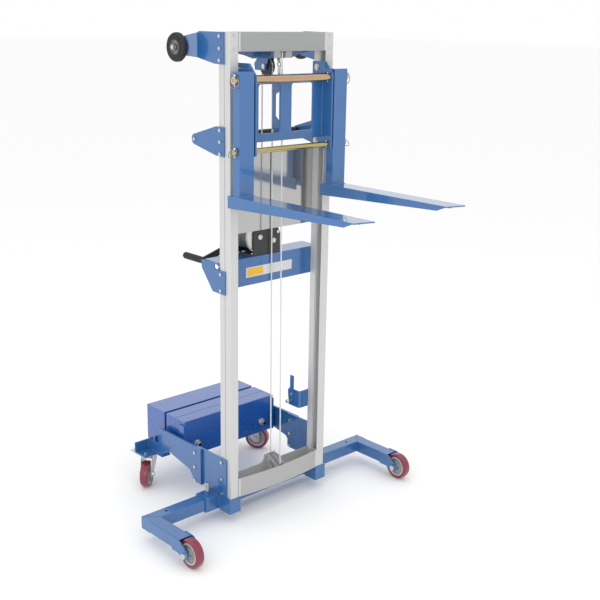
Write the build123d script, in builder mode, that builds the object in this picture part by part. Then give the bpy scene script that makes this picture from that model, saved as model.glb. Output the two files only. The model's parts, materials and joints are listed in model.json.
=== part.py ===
from build123d import *
import math
import os

os.makedirs("parts", exist_ok=True)

# Manual counterbalance stacker, millimetres. Z is up, X runs across, and the forks point to -Y.
# Every depth below is counted back from the front face of the inner rails, at mast_y.
fork_reach = 592.0
weight_depth = 114.0
rod_end = 16.0
tail_reach = 413.0 + weight_depth + rod_end
mast_y = (fork_reach - tail_reach) / 2
mast_height = 1700.0
running_gap = 0.3
hole_clearance = 0.1

# Mast rails
rail_out = 227.4
rail_width = 34.1
rail_in = rail_out - rail_width
rail_mid = rail_out - rail_width / 2
rail_wall = 3.5
rail_round = 1.5
rail_foot = 92.6
rail_length = mast_height - rail_foot
inner_depth = 29.0
rail_gap = 2.0
outer_depth = 26.3
inner_back = mast_y + inner_depth
outer_front = inner_back + rail_gap
outer_back = outer_front + outer_depth
inner_foot = rail_foot + running_gap + 0.1
slot_width = 14.6
tongue_stem = 6.8
tongue_head = 17.6
tongue_reach = 14.0
tongue_thick = 5.0

# Plates and bolts on the outer rails
bolt_r = 4.0
bolt_head_r = 6.5
bolt_head_t = 5.0
rail_bolt_y = mast_y + 44.0
bracket_t = 5.0
side_plate_t = 6.0
arm_t = 9.0
top_bolts = (mast_height - 13.0, mast_height - 51.0, mast_height - 88.0)
handle_z = mast_height - 348.0
mid_bolts = (handle_z + 41.0, handle_z + 3.0, handle_z - 36.0)
beam_top = 948.0
beam_bottom = beam_top - 98.0
winch_bolts = (beam_top - 35.0, beam_bottom + 6.0)
base_bolts = (225.0, 160.0, 103.0)
arm_bolts = (215.0, 159.0, 107.0)
arm_bolt_y = mast_y + 189.0
rivet_r = 2.5
rivet_z = (mast_height - 10.0, mast_height - 50.0)

# Base
tube_front = outer_back + 0.7
tube_half = 294.0
tube_depth = 61.0
tube_height = 56.0
tube_bottom = 40.5
tube_wall = 5.0
tube_top = tube_bottom + tube_height
tube_mid_y = tube_front + tube_depth / 2
foot_in = 185.7
foot_out = 235.1
foot_bottom = 37.4

# Legs
leg_fit = 0.5
leg_depth = tube_depth - 2 * tube_wall - 2 * leg_fit
leg_height = tube_height - 2 * tube_wall - 2 * leg_fit
leg_bottom = tube_bottom + tube_wall + leg_fit
leg_wall = 4.0
leg_inner_end = 185.0
leg_outer = 531.0
leg_tip_y = mast_y - 102.0
wheel_r = 50.0
wheel_width = 32.0
leg_axle_y = mast_y - 140.5
leg_axle_r = 6.0
leg_mid_x = leg_outer - leg_depth / 2
fork_plate_t = 5.0
leg_travel = 180.0
pin_x = 265.0
pin_r = 5.0
pin_drop = 9.5
knob_z = 128.0
knob_h = 12.0

# Rope and sheaves
rope_r = 2.5
sheave_r = 26.0
small_sheave_r = 20.0
sheave_width = 16.0
sheave_rim = 4.0
sheave_pin_r = 6.0
top_sheave_y = mast_y + 82.0
top_sheave_z = mast_height - 112.0
low_sheave_y = mast_y + 21.0
low_sheave_z = 168.0
inner_sheave_y = mast_y + 28.0
inner_sheave_z = mast_height - 40.0
eye_y = mast_y + 23.0
eye_z = mast_height - 103.0
eye_ring_r = 7.5
eye_wire_r = 2.5

# Carriage and forks
carriage_half = 172.0
carriage_t = 6.0
carriage_front = mast_y - 60.0
rod_y = mast_y - 44.0
upper_rod_z = mast_height - 145.4
lower_rod_z = mast_height - 370.2
upper_rod_r = 12.0
lower_rod_r = 9.0
rod_fit = 0.08
roller_y = mast_y + inner_depth / 2
roller_z = (mast_height - 115.0, mast_height - 364.0)
roller_r = (inner_depth - 2 * rail_wall) / 2 - running_gap
roller_width = 23.0
roller_x = rail_in + 3.7
fork_in = carriage_half + 1.0
fork_width = 70.0
shank_in = carriage_half + 6.0
shank_width = 60.0
rod_half = shank_in + shank_width + 11.0
shank_t = 32.0
fork_top = mast_height - 512.0
shank_top = upper_rod_z + 27.4
carriage_low = lower_rod_z - 15.8
carriage_high = shank_top + 23.0
fork_t = 4.0
blade_back = mast_y - 6.0

# Winch
beam_t = 3.0
beam_depth = 82.7
drum_x = -47.0
drum_z = beam_top + 65.0
pinion_x = 15.5
pinion_z = beam_top + 46.0
shaft_r = 7.0
tooth_module = math.dist((drum_x, drum_z), (pinion_x, pinion_z)) / 32.5
gear_teeth = 52
pinion_teeth = 13
gear_y = mast_y + 67.0
gear_width = 8.0
drum_rope_r = -drum_x
crank_y = mast_y + 180.0
crank_tip = (-200.0, beam_top - 18.0)

# Tail
caster_x = 248.0
caster_y = mast_y + 474.0
caster_lead = 42.0
flange_top = 134.0
flange_t = 5.0
caster_plate_t = 4.0
weight_half = 217.0
weight_bottom = 156.0
weight_height = 140.0
tie_x = 160.0
tie_z = 196.0
tie_r = 8.0

# Outer rails: lipped channels, open to the front
with BuildPart() as outer_rails:
    with BuildSketch(Plane.XY.offset(rail_foot)):
        with Locations((rail_mid, outer_front + outer_depth / 2)):
            RectangleRounded(rail_width, outer_depth, rail_round)
            Rectangle(rail_width - 2 * rail_wall, outer_depth - 2 * rail_wall, mode=Mode.SUBTRACT)
        with Locations((rail_mid, outer_front)):
            Rectangle(slot_width, 3 * rail_wall, mode=Mode.SUBTRACT)
    extrude(amount=rail_length)
    with BuildSketch(Plane.YZ.offset(rail_out - rail_wall - 1)):
        for bolt_z in top_bolts + mid_bolts + winch_bolts + base_bolts:
            with Locations((rail_bolt_y, bolt_z)):
                Circle(bolt_r + hole_clearance)
    extrude(amount=rail_wall + 2, mode=Mode.SUBTRACT)
    mirror(about=Plane.YZ)
outer_rails.part.label = "outer_rails"
export_step(outer_rails.part, "parts/outer_rails.step")

# Inner rails: channels open to the rollers, each with a tongue that slides in the outer rail
with BuildPart() as inner_rails:
    with BuildSketch(Plane.XY.offset(inner_foot)):
        with Locations((rail_mid, mast_y + inner_depth / 2)):
            RectangleRounded(rail_width, inner_depth, rail_round)
        with Locations((rail_mid - rail_wall, mast_y + inner_depth / 2)):
            Rectangle(rail_width, inner_depth - 2 * rail_wall, mode=Mode.SUBTRACT)
        with Locations((rail_mid, inner_back)):
            Rectangle(tongue_stem, tongue_reach, align=(Align.CENTER, Align.MIN))
        with Locations((rail_mid, inner_back + tongue_reach)):
            Rectangle(tongue_head, tongue_thick, align=(Align.CENTER, Align.MAX))
    extrude(amount=mast_height - inner_foot)
    with BuildSketch(Plane.XZ.offset(-mast_y - rail_wall)):
        for bolt_z in rivet_z:
            with Locations((rail_mid, bolt_z)):
                Circle(rivet_r + hole_clearance)
    extrude(amount=rail_wall + 1, mode=Mode.SUBTRACT)
    mirror(about=Plane.YZ)
inner_rails.part.label = "inner_rails"
export_step(inner_rails.part, "parts/inner_rails.step")

# Nylon glides: two on each tongue, low enough to stay in the outer rail at full rise
glide_width = rail_width - 2 * rail_wall - 2 * running_gap
glide_front = outer_front + rail_wall + running_gap
glide_back = outer_back - rail_wall - running_gap
with BuildPart() as mast_glides:
    for glide_z in (inner_foot + 7, inner_foot + 327):
        with BuildSketch(Plane.XY.offset(glide_z)):
            with Locations((rail_mid, glide_front)):
                Rectangle(glide_width, glide_back - glide_front, align=(Align.CENTER, Align.MIN))
            with Locations((rail_mid, inner_back)):
                Rectangle(tongue_stem, tongue_reach, align=(Align.CENTER, Align.MIN), mode=Mode.SUBTRACT)
            with Locations((rail_mid, inner_back + tongue_reach)):
                Rectangle(tongue_head, tongue_thick, align=(Align.CENTER, Align.MAX), mode=Mode.SUBTRACT)
        extrude(amount=60)
    mirror(about=Plane.YZ)
mast_glides.part.label = "mast_glides"
export_step(mast_glides.part, "parts/mast_glides.step")

# Inner top beam with the tabs that go into the rails and the bracket of the small sheave
beam_low = mast_height - 60.0
lug_in = 12.0
lug_t = 3.0
with BuildPart() as inner_top_beam:
    with Locations((0, mast_y, beam_low)):
        Box(2 * rail_in, 3, 60, align=(Align.CENTER, Align.MIN, Align.MIN))
    with Locations((0, mast_y, mast_height - 3)):
        Box(2 * rail_in, 26, 3, align=(Align.CENTER, Align.MIN, Align.MIN))
    for side in (-1, 1):
        with Locations((side * (rail_in + 8), mast_y + rail_wall, beam_low)):
            Box(24, 3, 60, align=(Align.CENTER, Align.MIN, Align.MIN))
    for side in (-1, 1):
        with Locations((side * 25, mast_y + 3, beam_low - 22)):
            Box(28, 3, 79, align=(Align.CENTER, Align.MIN, Align.MIN))
    with BuildSketch(Plane.YZ.offset(lug_in)) as sheave_lug:
        with BuildLine():
            Polyline(
                (mast_y + 3, beam_low - 22),
                (mast_y + 20, beam_low - 22),
                (inner_sheave_y + 12, inner_sheave_z - 10),
                (inner_sheave_y + 12, inner_sheave_z + 10),
                (inner_sheave_y, mast_height - 3),
                (mast_y + 3, mast_height - 3),
                close=True,
            )
        make_face()
        with Locations((inner_sheave_y, inner_sheave_z)):
            Circle(sheave_pin_r + hole_clearance, mode=Mode.SUBTRACT)
    extrude(amount=lug_t)
    extrude(sheave_lug.sketch.moved(Location((-2 * lug_in - lug_t, 0, 0))), amount=lug_t)
    with BuildSketch(Plane.XZ.offset(-mast_y - rail_wall)):
        for side in (-1, 1):
            for bolt_z in rivet_z:
                with Locations((side * rail_mid, bolt_z)):
                    Circle(rivet_r + hole_clearance)
    extrude(amount=-4, mode=Mode.SUBTRACT)
inner_top_beam.part.label = "inner_top_beam"
export_step(inner_top_beam.part, "parts/inner_top_beam.step")

# Inner crossmember: bowed front plate, rear plate with a hump, end plates and sheave gussets
cross_half = rail_in - 0.8
cross_top = 163.0
hump_top = 190.0
hump_half = 26.0
hump_foot = 52.0
bow = 14.5
cross_back = mast_y + 55.0
with BuildPart() as inner_crossmember:
    with BuildSketch(Plane.XY.offset(inner_foot)):
        with BuildLine():
            ThreePointArc((-cross_half, mast_y), (0, mast_y - bow), (cross_half, mast_y))
            Line((cross_half, mast_y), (cross_half, mast_y + 3))
            ThreePointArc((cross_half, mast_y + 3), (0, mast_y - bow + 3), (-cross_half, mast_y + 3))
            Line((-cross_half, mast_y + 3), (-cross_half, mast_y))
        make_face()
        for side in (-1, 1):
            with Locations((side * (cross_half - 1.5), mast_y)):
                Rectangle(3, cross_back - mast_y, align=(Align.CENTER, Align.MIN))
    extrude(amount=cross_top - inner_foot)
    with BuildSketch(Plane.XZ.offset(-cross_back)):
        with BuildLine():
            Polyline(
                (-cross_half, inner_foot),
                (cross_half, inner_foot),
                (cross_half, cross_top - 3),
                (hump_foot, cross_top - 3),
            )
            ThreePointArc((hump_foot, cross_top - 3), (hump_half + 6, cross_top + 6), (hump_half, hump_top))
            Line((hump_half, hump_top), (-hump_half, hump_top))
            ThreePointArc((-hump_half, hump_top), (-hump_half - 6, cross_top + 6), (-hump_foot, cross_top - 3))
            Line((-hump_foot, cross_top - 3), (-cross_half, cross_top - 3))
            Line((-cross_half, cross_top - 3), (-cross_half, inner_foot))
        make_face()
    extrude(amount=3)
    with BuildSketch(Plane.YZ.offset(13)) as gusset:
        with BuildLine():
            Polyline(
                (mast_y - bow + 2, 105),
                (mast_y - bow + 2, cross_top),
                (low_sheave_y - 6, low_sheave_z + 14),
                (cross_back - 18, hump_top),
                (cross_back - 3, hump_top),
                (cross_back - 3, 105),
                close=True,
            )
        make_face()
        with Locations((low_sheave_y, low_sheave_z)):
            Circle(sheave_pin_r + hole_clearance, mode=Mode.SUBTRACT)
    extrude(amount=3)
    extrude(gusset.sketch.moved(Location((-29, 0, 0))), amount=3)
    with BuildSketch(Plane.YZ.offset(-cross_half - 1)):
        with Locations((roller_y, cross_top - 10), (roller_y, inner_foot + 14)):
            Circle(bolt_r + hole_clearance)
    extrude(amount=2 * cross_half + 2, mode=Mode.SUBTRACT)
inner_crossmember.part.label = "inner_crossmember"
export_step(inner_crossmember.part, "parts/inner_crossmember.step")

# Inner mast fasteners: rivets of the top beam, bolts and nut plates of the crossmember, sheave pins
nut_plate_depth = inner_depth - 2 * rail_wall - 2 * hole_clearance
with BuildPart() as inner_mast_fasteners:
    for bolt_z in rivet_z:
        with BuildSketch(Plane.XZ.offset(-mast_y)):
            with Locations((rail_mid, bolt_z)):
                Circle(5)
        extrude(amount=1.6)
        with BuildSketch(Plane.XZ.offset(-mast_y)):
            with Locations((rail_mid, bolt_z)):
                Circle(rivet_r)
        extrude(amount=-rail_wall - 3)
    for bolt_z in (cross_top - 10, inner_foot + 14):
        with BuildSketch(Plane.YZ.offset(cross_half)):
            with Locations((roller_y, bolt_z)):
                Rectangle(nut_plate_depth, 18)
        extrude(amount=6)
        with BuildSketch(Plane.YZ.offset(cross_half - 3)):
            with Locations((roller_y, bolt_z)):
                RegularPolygon(bolt_head_r, 6)
        extrude(amount=-bolt_head_t)
        with BuildSketch(Plane.YZ.offset(cross_half - 3)):
            with Locations((roller_y, bolt_z)):
                Circle(bolt_r)
        extrude(amount=4)
    mirror(about=Plane.YZ)
    for pin_y, pin_z, half in ((low_sheave_y, low_sheave_z, 16.0), (inner_sheave_y, inner_sheave_z, 15.0)):
        with BuildSketch(Plane.YZ.offset(-half - 2)):
            with Locations((pin_y, pin_z)):
                Circle(sheave_pin_r)
        extrude(amount=2 * half + 4)
        for side in (-1, 1):
            with Locations((side * (half + 2), pin_y, pin_z)):
                Cylinder(9, 4, rotation=(0, 90, 0))
inner_mast_fasteners.part.label = "inner_mast_fasteners"
export_step(inner_mast_fasteners.part, "parts/inner_mast_fasteners.step")

# Rope sheaves
sheaves = (
    ("top_sheave", sheave_r, top_sheave_y, top_sheave_z),
    ("bottom_sheave", sheave_r, low_sheave_y, low_sheave_z),
    ("inner_sheave", small_sheave_r, inner_sheave_y, inner_sheave_z),
)
for sheave_name, groove_r, sheave_y, sheave_z in sheaves:
    with BuildPart() as sheave:
        with BuildSketch(Plane.XY):
            with BuildLine():
                Polyline(
                    (-sheave_width / 2, sheave_pin_r + 0.05),
                    (sheave_width / 2, sheave_pin_r + 0.05),
                    (sheave_width / 2, groove_r + sheave_rim),
                    (sheave_width / 2 - 2, groove_r + sheave_rim),
                    (rope_r + 0.4, groove_r - 1),
                    (rope_r + 0.4, groove_r - rope_r - 0.2),
                    (-rope_r - 0.4, groove_r - rope_r - 0.2),
                    (-rope_r - 0.4, groove_r - 1),
                    (2 - sheave_width / 2, groove_r + sheave_rim),
                    (-sheave_width / 2, groove_r + sheave_rim),
                    close=True,
                )
            make_face()
        revolve(axis=Axis.X)
    placed_sheave = sheave.part.moved(Location((0, sheave_y, sheave_z)))
    placed_sheave.label = sheave_name
    export_step(placed_sheave, f"parts/{sheave_name}.step")

# Rope: drum to top sheave, down to the bottom sheave, up to the inner sheave, down to the carriage eye
with BuildPart() as rope_lift:
    with BuildLine(Plane.YZ) as lift_path:
        Line((top_sheave_y + sheave_r, drum_z), (top_sheave_y + sheave_r, top_sheave_z))
        CenterArc((top_sheave_y, top_sheave_z), sheave_r, 0, 180)
    with BuildSketch(Plane.XY.offset(drum_z)):
        with Locations((0, top_sheave_y + sheave_r)):
            Circle(rope_r)
    sweep(path=lift_path.wires()[0])
rope_lift.part.label = "rope_lift"
export_step(rope_lift.part, "parts/rope_lift.step")

fall_top = (0, top_sheave_y - sheave_r, top_sheave_z)
fall_low = (0, low_sheave_y + sheave_r, low_sheave_z)
with BuildPart() as rope_fall:
    with BuildLine() as fall_path:
        Line(fall_top, fall_low)
    with BuildSketch(Plane(origin=fall_top, z_dir=fall_path.line % 0)):
        Circle(rope_r)
    sweep(path=fall_path.wires()[0])
rope_fall.part.label = "rope_fall"
export_step(rope_fall.part, "parts/rope_fall.step")

rise_y = inner_sheave_y - low_sheave_y
rise_z = inner_sheave_z - low_sheave_z
rise_length = math.hypot(rise_y, rise_z)
touch_angle = math.atan2(rise_z, rise_y) + math.acos((sheave_r - small_sheave_r) / rise_length)
touch_deg = math.degrees(touch_angle)
low_touch = (low_sheave_y + sheave_r * math.cos(touch_angle), low_sheave_z + sheave_r * math.sin(touch_angle))
high_touch = (
    inner_sheave_y + small_sheave_r * math.cos(touch_angle),
    inner_sheave_z + small_sheave_r * math.sin(touch_angle),
)
eye_dy = eye_y - inner_sheave_y
eye_top = eye_z + eye_ring_r + eye_wire_r + 1.0
eye_dz = eye_top - inner_sheave_z
eye_reach = math.hypot(eye_dy, eye_dz)
leave_angle = math.atan2(eye_dz, eye_dy) + math.acos(small_sheave_r / eye_reach)
leave_deg = math.degrees(leave_angle)
leave_point = (
    inner_sheave_y + small_sheave_r * math.cos(leave_angle),
    inner_sheave_z + small_sheave_r * math.sin(leave_angle),
)
with BuildPart() as rope_inner:
    with BuildLine(Plane.YZ) as inner_path:
        CenterArc((low_sheave_y, low_sheave_z), sheave_r, 0, touch_deg - 360)
        Line(low_touch, high_touch)
        CenterArc((inner_sheave_y, inner_sheave_z), small_sheave_r, touch_deg, leave_deg - touch_deg)
    with BuildSketch(Plane.XY.offset(low_sheave_z)):
        with Locations((0, low_sheave_y + sheave_r)):
            Circle(rope_r)
    sweep(path=inner_path.wires()[0])
rope_inner.part.label = "rope_inner"
export_step(rope_inner.part, "parts/rope_inner.step")

leave_start = (0, leave_point[0], leave_point[1])
with BuildPart() as rope_carriage:
    with BuildLine() as drop_path:
        Line(leave_start, (0, eye_y, eye_top))
    with BuildSketch(Plane(origin=leave_start, z_dir=drop_path.line % 0)):
        Circle(rope_r)
    sweep(path=drop_path.wires()[0])
rope_carriage.part.label = "rope_carriage"
export_step(rope_carriage.part, "parts/rope_carriage.step")

# Top cross plate behind the outer rails, with the two lugs of the top sheave
cross_plate_t = 5.0
with BuildPart() as top_cross_plate:
    with BuildSketch(Plane.XZ.offset(-outer_back)):
        with BuildLine():
            Polyline(
                (-rail_out, mast_height),
                (-rail_out, mast_height - 63),
                (-175, mast_height - 63),
                (-120, mast_height - 74),
                (-85, mast_height - 85),
                (85, mast_height - 85),
                (120, mast_height - 74),
                (175, mast_height - 63),
                (rail_out, mast_height - 63),
                (rail_out, mast_height),
                close=True,
            )
        make_face()
    extrude(amount=-cross_plate_t)
    with BuildSketch(Plane.YZ.offset(10)) as top_lug:
        with BuildLine():
            Polyline(
                (outer_back + cross_plate_t, mast_height - 15),
                (outer_back + cross_plate_t, mast_height - 85),
                (top_sheave_y - 6, top_sheave_z - 12),
                (top_sheave_y + 6, top_sheave_z - 14),
                (top_sheave_y + 48, top_sheave_z - 14),
                (top_sheave_y + 52, top_sheave_z + 8),
                (top_sheave_y + 36, top_sheave_z + 26),
                (top_sheave_y + 30, mast_height - 30),
                (top_sheave_y + 15, mast_height - 15),
                close=True,
            )
        make_face()
        with Locations((top_sheave_y, top_sheave_z)):
            Circle(sheave_pin_r + hole_clearance, mode=Mode.SUBTRACT)
    extrude(amount=4)
    extrude(top_lug.sketch.moved(Location((-24, 0, 0))), amount=4)
top_cross_plate.part.label = "top_cross_plate"
export_step(top_cross_plate.part, "parts/top_cross_plate.step")

# Top brackets: joggled outward, each with a loading wheel
load_wheel_r = 47.0
load_wheel_width = 25.0
load_wheel_x = 275.0
load_wheel_y = mast_y + 214.0
load_wheel_z = mast_height - 52.0
load_axle_r = 5.0
load_plate_x = 254.0
with BuildPart() as top_brackets:
    with BuildSketch(Plane.XY.offset(mast_height - 102)):
        with BuildLine():
            Polyline(
                (rail_out, mast_y + 24),
                (rail_out, mast_y + 164),
                (load_plate_x, mast_y + 190),
                (load_plate_x, mast_y + 232),
                (load_plate_x + bracket_t, mast_y + 232),
                (load_plate_x + bracket_t, mast_y + 188),
                (rail_out + bracket_t, mast_y + 162),
                (rail_out + bracket_t, mast_y + 24),
                close=True,
            )
        make_face()
    extrude(amount=104)
    with BuildSketch(Plane.YZ.offset(rail_out - 5)):
        with BuildLine():
            Polyline(
                (mast_y + 26, mast_height),
                (mast_y + 150, mast_height),
                (mast_y + 222, mast_height - 27),
                (mast_y + 229, mast_height - 38),
                (mast_y + 229, mast_height - 62),
                (mast_y + 222, mast_height - 72),
                (mast_y + 75, mast_height - 99),
                (mast_y + 26, mast_height - 100),
                close=True,
            )
        make_face()
        for bolt_z in top_bolts:
            with Locations((rail_bolt_y, bolt_z)):
                Circle(bolt_r + hole_clearance, mode=Mode.SUBTRACT)
        with Locations((load_wheel_y, load_wheel_z)):
            Circle(load_axle_r + hole_clearance, mode=Mode.SUBTRACT)
    extrude(amount=50, mode=Mode.INTERSECT)
    mirror(about=Plane.YZ)
top_brackets.part.label = "top_brackets"
export_step(top_brackets.part, "parts/top_brackets.step")

# Loading wheels: solid rubber tyre on a metal hub
for side, side_name in ((-1, "left"), (1, "right")):
    with BuildPart() as loading_wheel:
        with BuildSketch(Plane.XY) as tyre:
            with Locations((0, 24)):
                Rectangle(load_wheel_width, load_wheel_r - 24, align=(Align.CENTER, Align.MIN))
            fillet(tyre.vertices().group_by(Axis.Y)[-1], 7)
        revolve(axis=Axis.X)
        with BuildSketch(Plane.XY):
            with Locations((0, load_axle_r + 0.05)):
                Rectangle(load_wheel_width + 4, 12, align=(Align.CENTER, Align.MIN))
            with Locations((0, 16)):
                Rectangle(load_wheel_width - 8, 8.05, align=(Align.CENTER, Align.MIN))
        revolve(axis=Axis.X)
    placed_wheel = loading_wheel.part.moved(Location((side * load_wheel_x, load_wheel_y, load_wheel_z)))
    placed_wheel.label = f"loading_wheel_{side_name}"
    export_step(placed_wheel, f"parts/loading_wheel_{side_name}.step")

# Mid brackets, handle bar and grip
handle_y = mast_y + 180.0
bar_r = 9.0
grip_r = 13.5
with BuildPart() as mid_brackets:
    with BuildSketch(Plane.YZ.offset(rail_out)):
        with BuildLine():
            Polyline(
                (mast_y + 26, handle_z + 52),
                (mast_y + 67, handle_z + 52),
                (handle_y + 8, handle_z + 16),
            )
            ThreePointArc(
                (handle_y + 8, handle_z + 16),
                (handle_y + 17, handle_z - 4),
                (handle_y + 2, handle_z - 18),
            )
            Polyline(
                (handle_y + 2, handle_z - 18),
                (mast_y + 68, handle_z - 43),
                (mast_y + 26, handle_z - 44),
                (mast_y + 26, handle_z + 52),
            )
        make_face()
        for bolt_z in mid_bolts:
            with Locations((rail_bolt_y, bolt_z)):
                Circle(bolt_r + hole_clearance, mode=Mode.SUBTRACT)
        with Locations((handle_y, handle_z)):
            Circle(bolt_r + hole_clearance, mode=Mode.SUBTRACT)
    extrude(amount=bracket_t)
    mirror(about=Plane.YZ)
mid_brackets.part.label = "mid_brackets"
export_step(mid_brackets.part, "parts/mid_brackets.step")

with BuildPart() as handle_bar:
    with BuildSketch(Plane.YZ.offset(-rail_out)):
        with Locations((handle_y, handle_z)):
            Circle(bar_r)
            Circle(bolt_r + hole_clearance, mode=Mode.SUBTRACT)
    extrude(amount=2 * rail_out)
handle_bar.part.label = "handle_bar"
export_step(handle_bar.part, "parts/handle_bar.step")

with BuildPart() as handle_grip:
    with BuildSketch(Plane.YZ.offset(1 - rail_out)):
        with Locations((handle_y, handle_z)):
            Circle(grip_r)
            Circle(bar_r, mode=Mode.SUBTRACT)
    extrude(amount=2 * rail_out - 2)
handle_grip.part.label = "handle_grip"
export_step(handle_grip.part, "parts/handle_grip.step")

# Back panel, riveted to the rear of the outer rails
panel_low = beam_top + 90.0
with BuildPart() as back_panel:
    with Locations((0, outer_back, panel_low)):
        Box(450, 1.6, handle_z - 30 - panel_low, align=(Align.CENTER, Align.MIN, Align.MIN))
back_panel.part.label = "back_panel"
export_step(back_panel.part, "parts/back_panel.step")

# Winch beam: one folded sheet with the two side plates that bolt to the rails
beam_lip = 25.0
with BuildPart() as winch_beam:
    with Locations((0, outer_back, beam_bottom)):
        Box(2 * rail_out, beam_t, beam_top - beam_bottom, align=(Align.CENTER, Align.MIN, Align.MIN))
    with Locations((0, outer_back, beam_top - beam_t)):
        Box(2 * rail_out, beam_depth, beam_t, align=(Align.CENTER, Align.MIN, Align.MIN))
    with Locations((0, outer_back + beam_depth - beam_t, beam_top - beam_lip)):
        Box(2 * rail_out, beam_t, beam_lip, align=(Align.CENTER, Align.MIN, Align.MIN))
    with BuildSketch(Plane.YZ.offset(rail_out)):
        with BuildLine():
            Polyline(
                (mast_y + 24, beam_top - 24),
                (outer_back, beam_top - 24),
                (outer_back + 4, beam_top - 4),
                (outer_back + 12, beam_top),
                (mast_y + 150, beam_top - 4),
                (mast_y + 150, beam_top - 30),
                (mast_y + 90, beam_bottom - 5),
                (mast_y + 24, beam_bottom - 7),
                close=True,
            )
        make_face()
        for bolt_z in winch_bolts:
            with Locations((rail_bolt_y, bolt_z)):
                Circle(bolt_r + hole_clearance, mode=Mode.SUBTRACT)
        with Locations((outer_back + 14, beam_top - 14)):
            SlotOverall(24, 17, mode=Mode.SUBTRACT)
    extrude(amount=bracket_t)
    mirror(about=Plane.YZ)
winch_beam.part.label = "winch_beam"
export_step(winch_beam.part, "parts/winch_beam.step")

# Winch frame: U-shaped sheet on the beam
cheek_t = 4.0
cheek_front = outer_back + 3.5
cheek_rear = mast_y + 146.0
cheek_left = -74.0
cheek_right = 48.0
with BuildPart() as winch_frame:
    with Locations(((cheek_left + cheek_right) / 2, cheek_front, beam_top)):
        Box(
            cheek_right - cheek_left,
            cheek_rear + cheek_t - cheek_front,
            cheek_t,
            align=(Align.CENTER, Align.MIN, Align.MIN),
        )
    for cheek_y in (cheek_front, cheek_rear):
        with BuildSketch(Plane.XZ.offset(-cheek_y)):
            with BuildLine():
                Polyline(
                    (cheek_left, beam_top),
                    (cheek_right, beam_top),
                    (cheek_right, beam_top + 70),
                    (cheek_right - 10, beam_top + 88),
                    (cheek_right - 26, beam_top + 98),
                    (cheek_left + 18, beam_top + 98),
                    (cheek_left + 5, beam_top + 92),
                    (cheek_left, beam_top + 79),
                    close=True,
                )
            make_face()
            with Locations((drum_x, drum_z), (pinion_x, pinion_z)):
                Circle(shaft_r + hole_clearance, mode=Mode.SUBTRACT)
            with Locations((37, beam_top + 74)):
                Circle(bolt_r + hole_clearance, mode=Mode.SUBTRACT)
        extrude(amount=-cheek_t)
winch_frame.part.label = "winch_frame"
export_step(winch_frame.part, "parts/winch_frame.step")

# Winch drum with its gear, shaft and rope coil
gear_r = tooth_module * gear_teeth / 2
mesh_angle = math.degrees(math.atan2(pinion_z - drum_z, pinion_x - drum_x))
drum_flange_r = 49.5
drum_front = gear_y + gear_width + 1
drum_rear = mast_y + 142.0
with BuildPart() as winch_drum:
    with BuildSketch(Plane.XZ.offset(-gear_y)):
        Circle(gear_r - tooth_module * 1.2)
        with PolarLocations(0, gear_teeth, start_angle=mesh_angle + 180 / gear_teeth):
            Polygon(
                (gear_r - 1.4 * tooth_module, -0.88 * tooth_module),
                (gear_r + 0.85 * tooth_module, -0.36 * tooth_module),
                (gear_r + 0.85 * tooth_module, 0.36 * tooth_module),
                (gear_r - 1.4 * tooth_module, 0.88 * tooth_module),
                align=None,
            )
    extrude(amount=-gear_width)
    with BuildSketch(Plane.XZ.offset(-gear_y - gear_width)):
        Circle(drum_flange_r)
    extrude(amount=-2)
    with BuildSketch(Plane.XZ.offset(-gear_y - gear_width - 2)):
        Circle(22)
    extrude(amount=gear_y + gear_width + 2 - drum_rear)
    with BuildSketch(Plane.XZ.offset(2 - drum_rear)):
        Circle(drum_flange_r)
    extrude(amount=-2)
    with BuildSketch(Plane.XZ.offset(-cheek_front + 3)):
        Circle(shaft_r + hole_clearance - 0.05)
    extrude(amount=cheek_front - cheek_rear - cheek_t - 6)
    with BuildSketch(Plane.XZ.offset(-gear_y - gear_width - 2)):
        Circle(drum_rope_r - rope_r - running_gap)
    extrude(amount=gear_y + gear_width + 4 - drum_rear)
placed_drum = winch_drum.part.moved(Location((drum_x, 0, drum_z)))
placed_drum.label = "winch_drum"
export_step(placed_drum, "parts/winch_drum.step")

# Pinion on its shaft
pinion_pitch = tooth_module * pinion_teeth / 2
with BuildPart() as winch_pinion:
    with BuildSketch(Plane.XZ.offset(-gear_y + 1)):
        Circle(pinion_pitch - tooth_module * 1.1)
        with PolarLocations(0, pinion_teeth, start_angle=mesh_angle + 180):
            Polygon(
                (pinion_pitch - 1.3 * tooth_module, -0.78 * tooth_module),
                (pinion_pitch + 0.75 * tooth_module, -0.34 * tooth_module),
                (pinion_pitch + 0.75 * tooth_module, 0.34 * tooth_module),
                (pinion_pitch - 1.3 * tooth_module, 0.78 * tooth_module),
                align=None,
            )
    extrude(amount=-gear_width - 1)
    with BuildSketch(Plane.XZ.offset(-cheek_front + 3)):
        Circle(shaft_r + hole_clearance - 0.05)
    extrude(amount=cheek_front - 3 - crank_y - 14)
placed_pinion = winch_pinion.part.moved(Location((pinion_x, 0, pinion_z)))
placed_pinion.label = "winch_pinion"
export_step(placed_pinion, "parts/winch_pinion.step")

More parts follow.
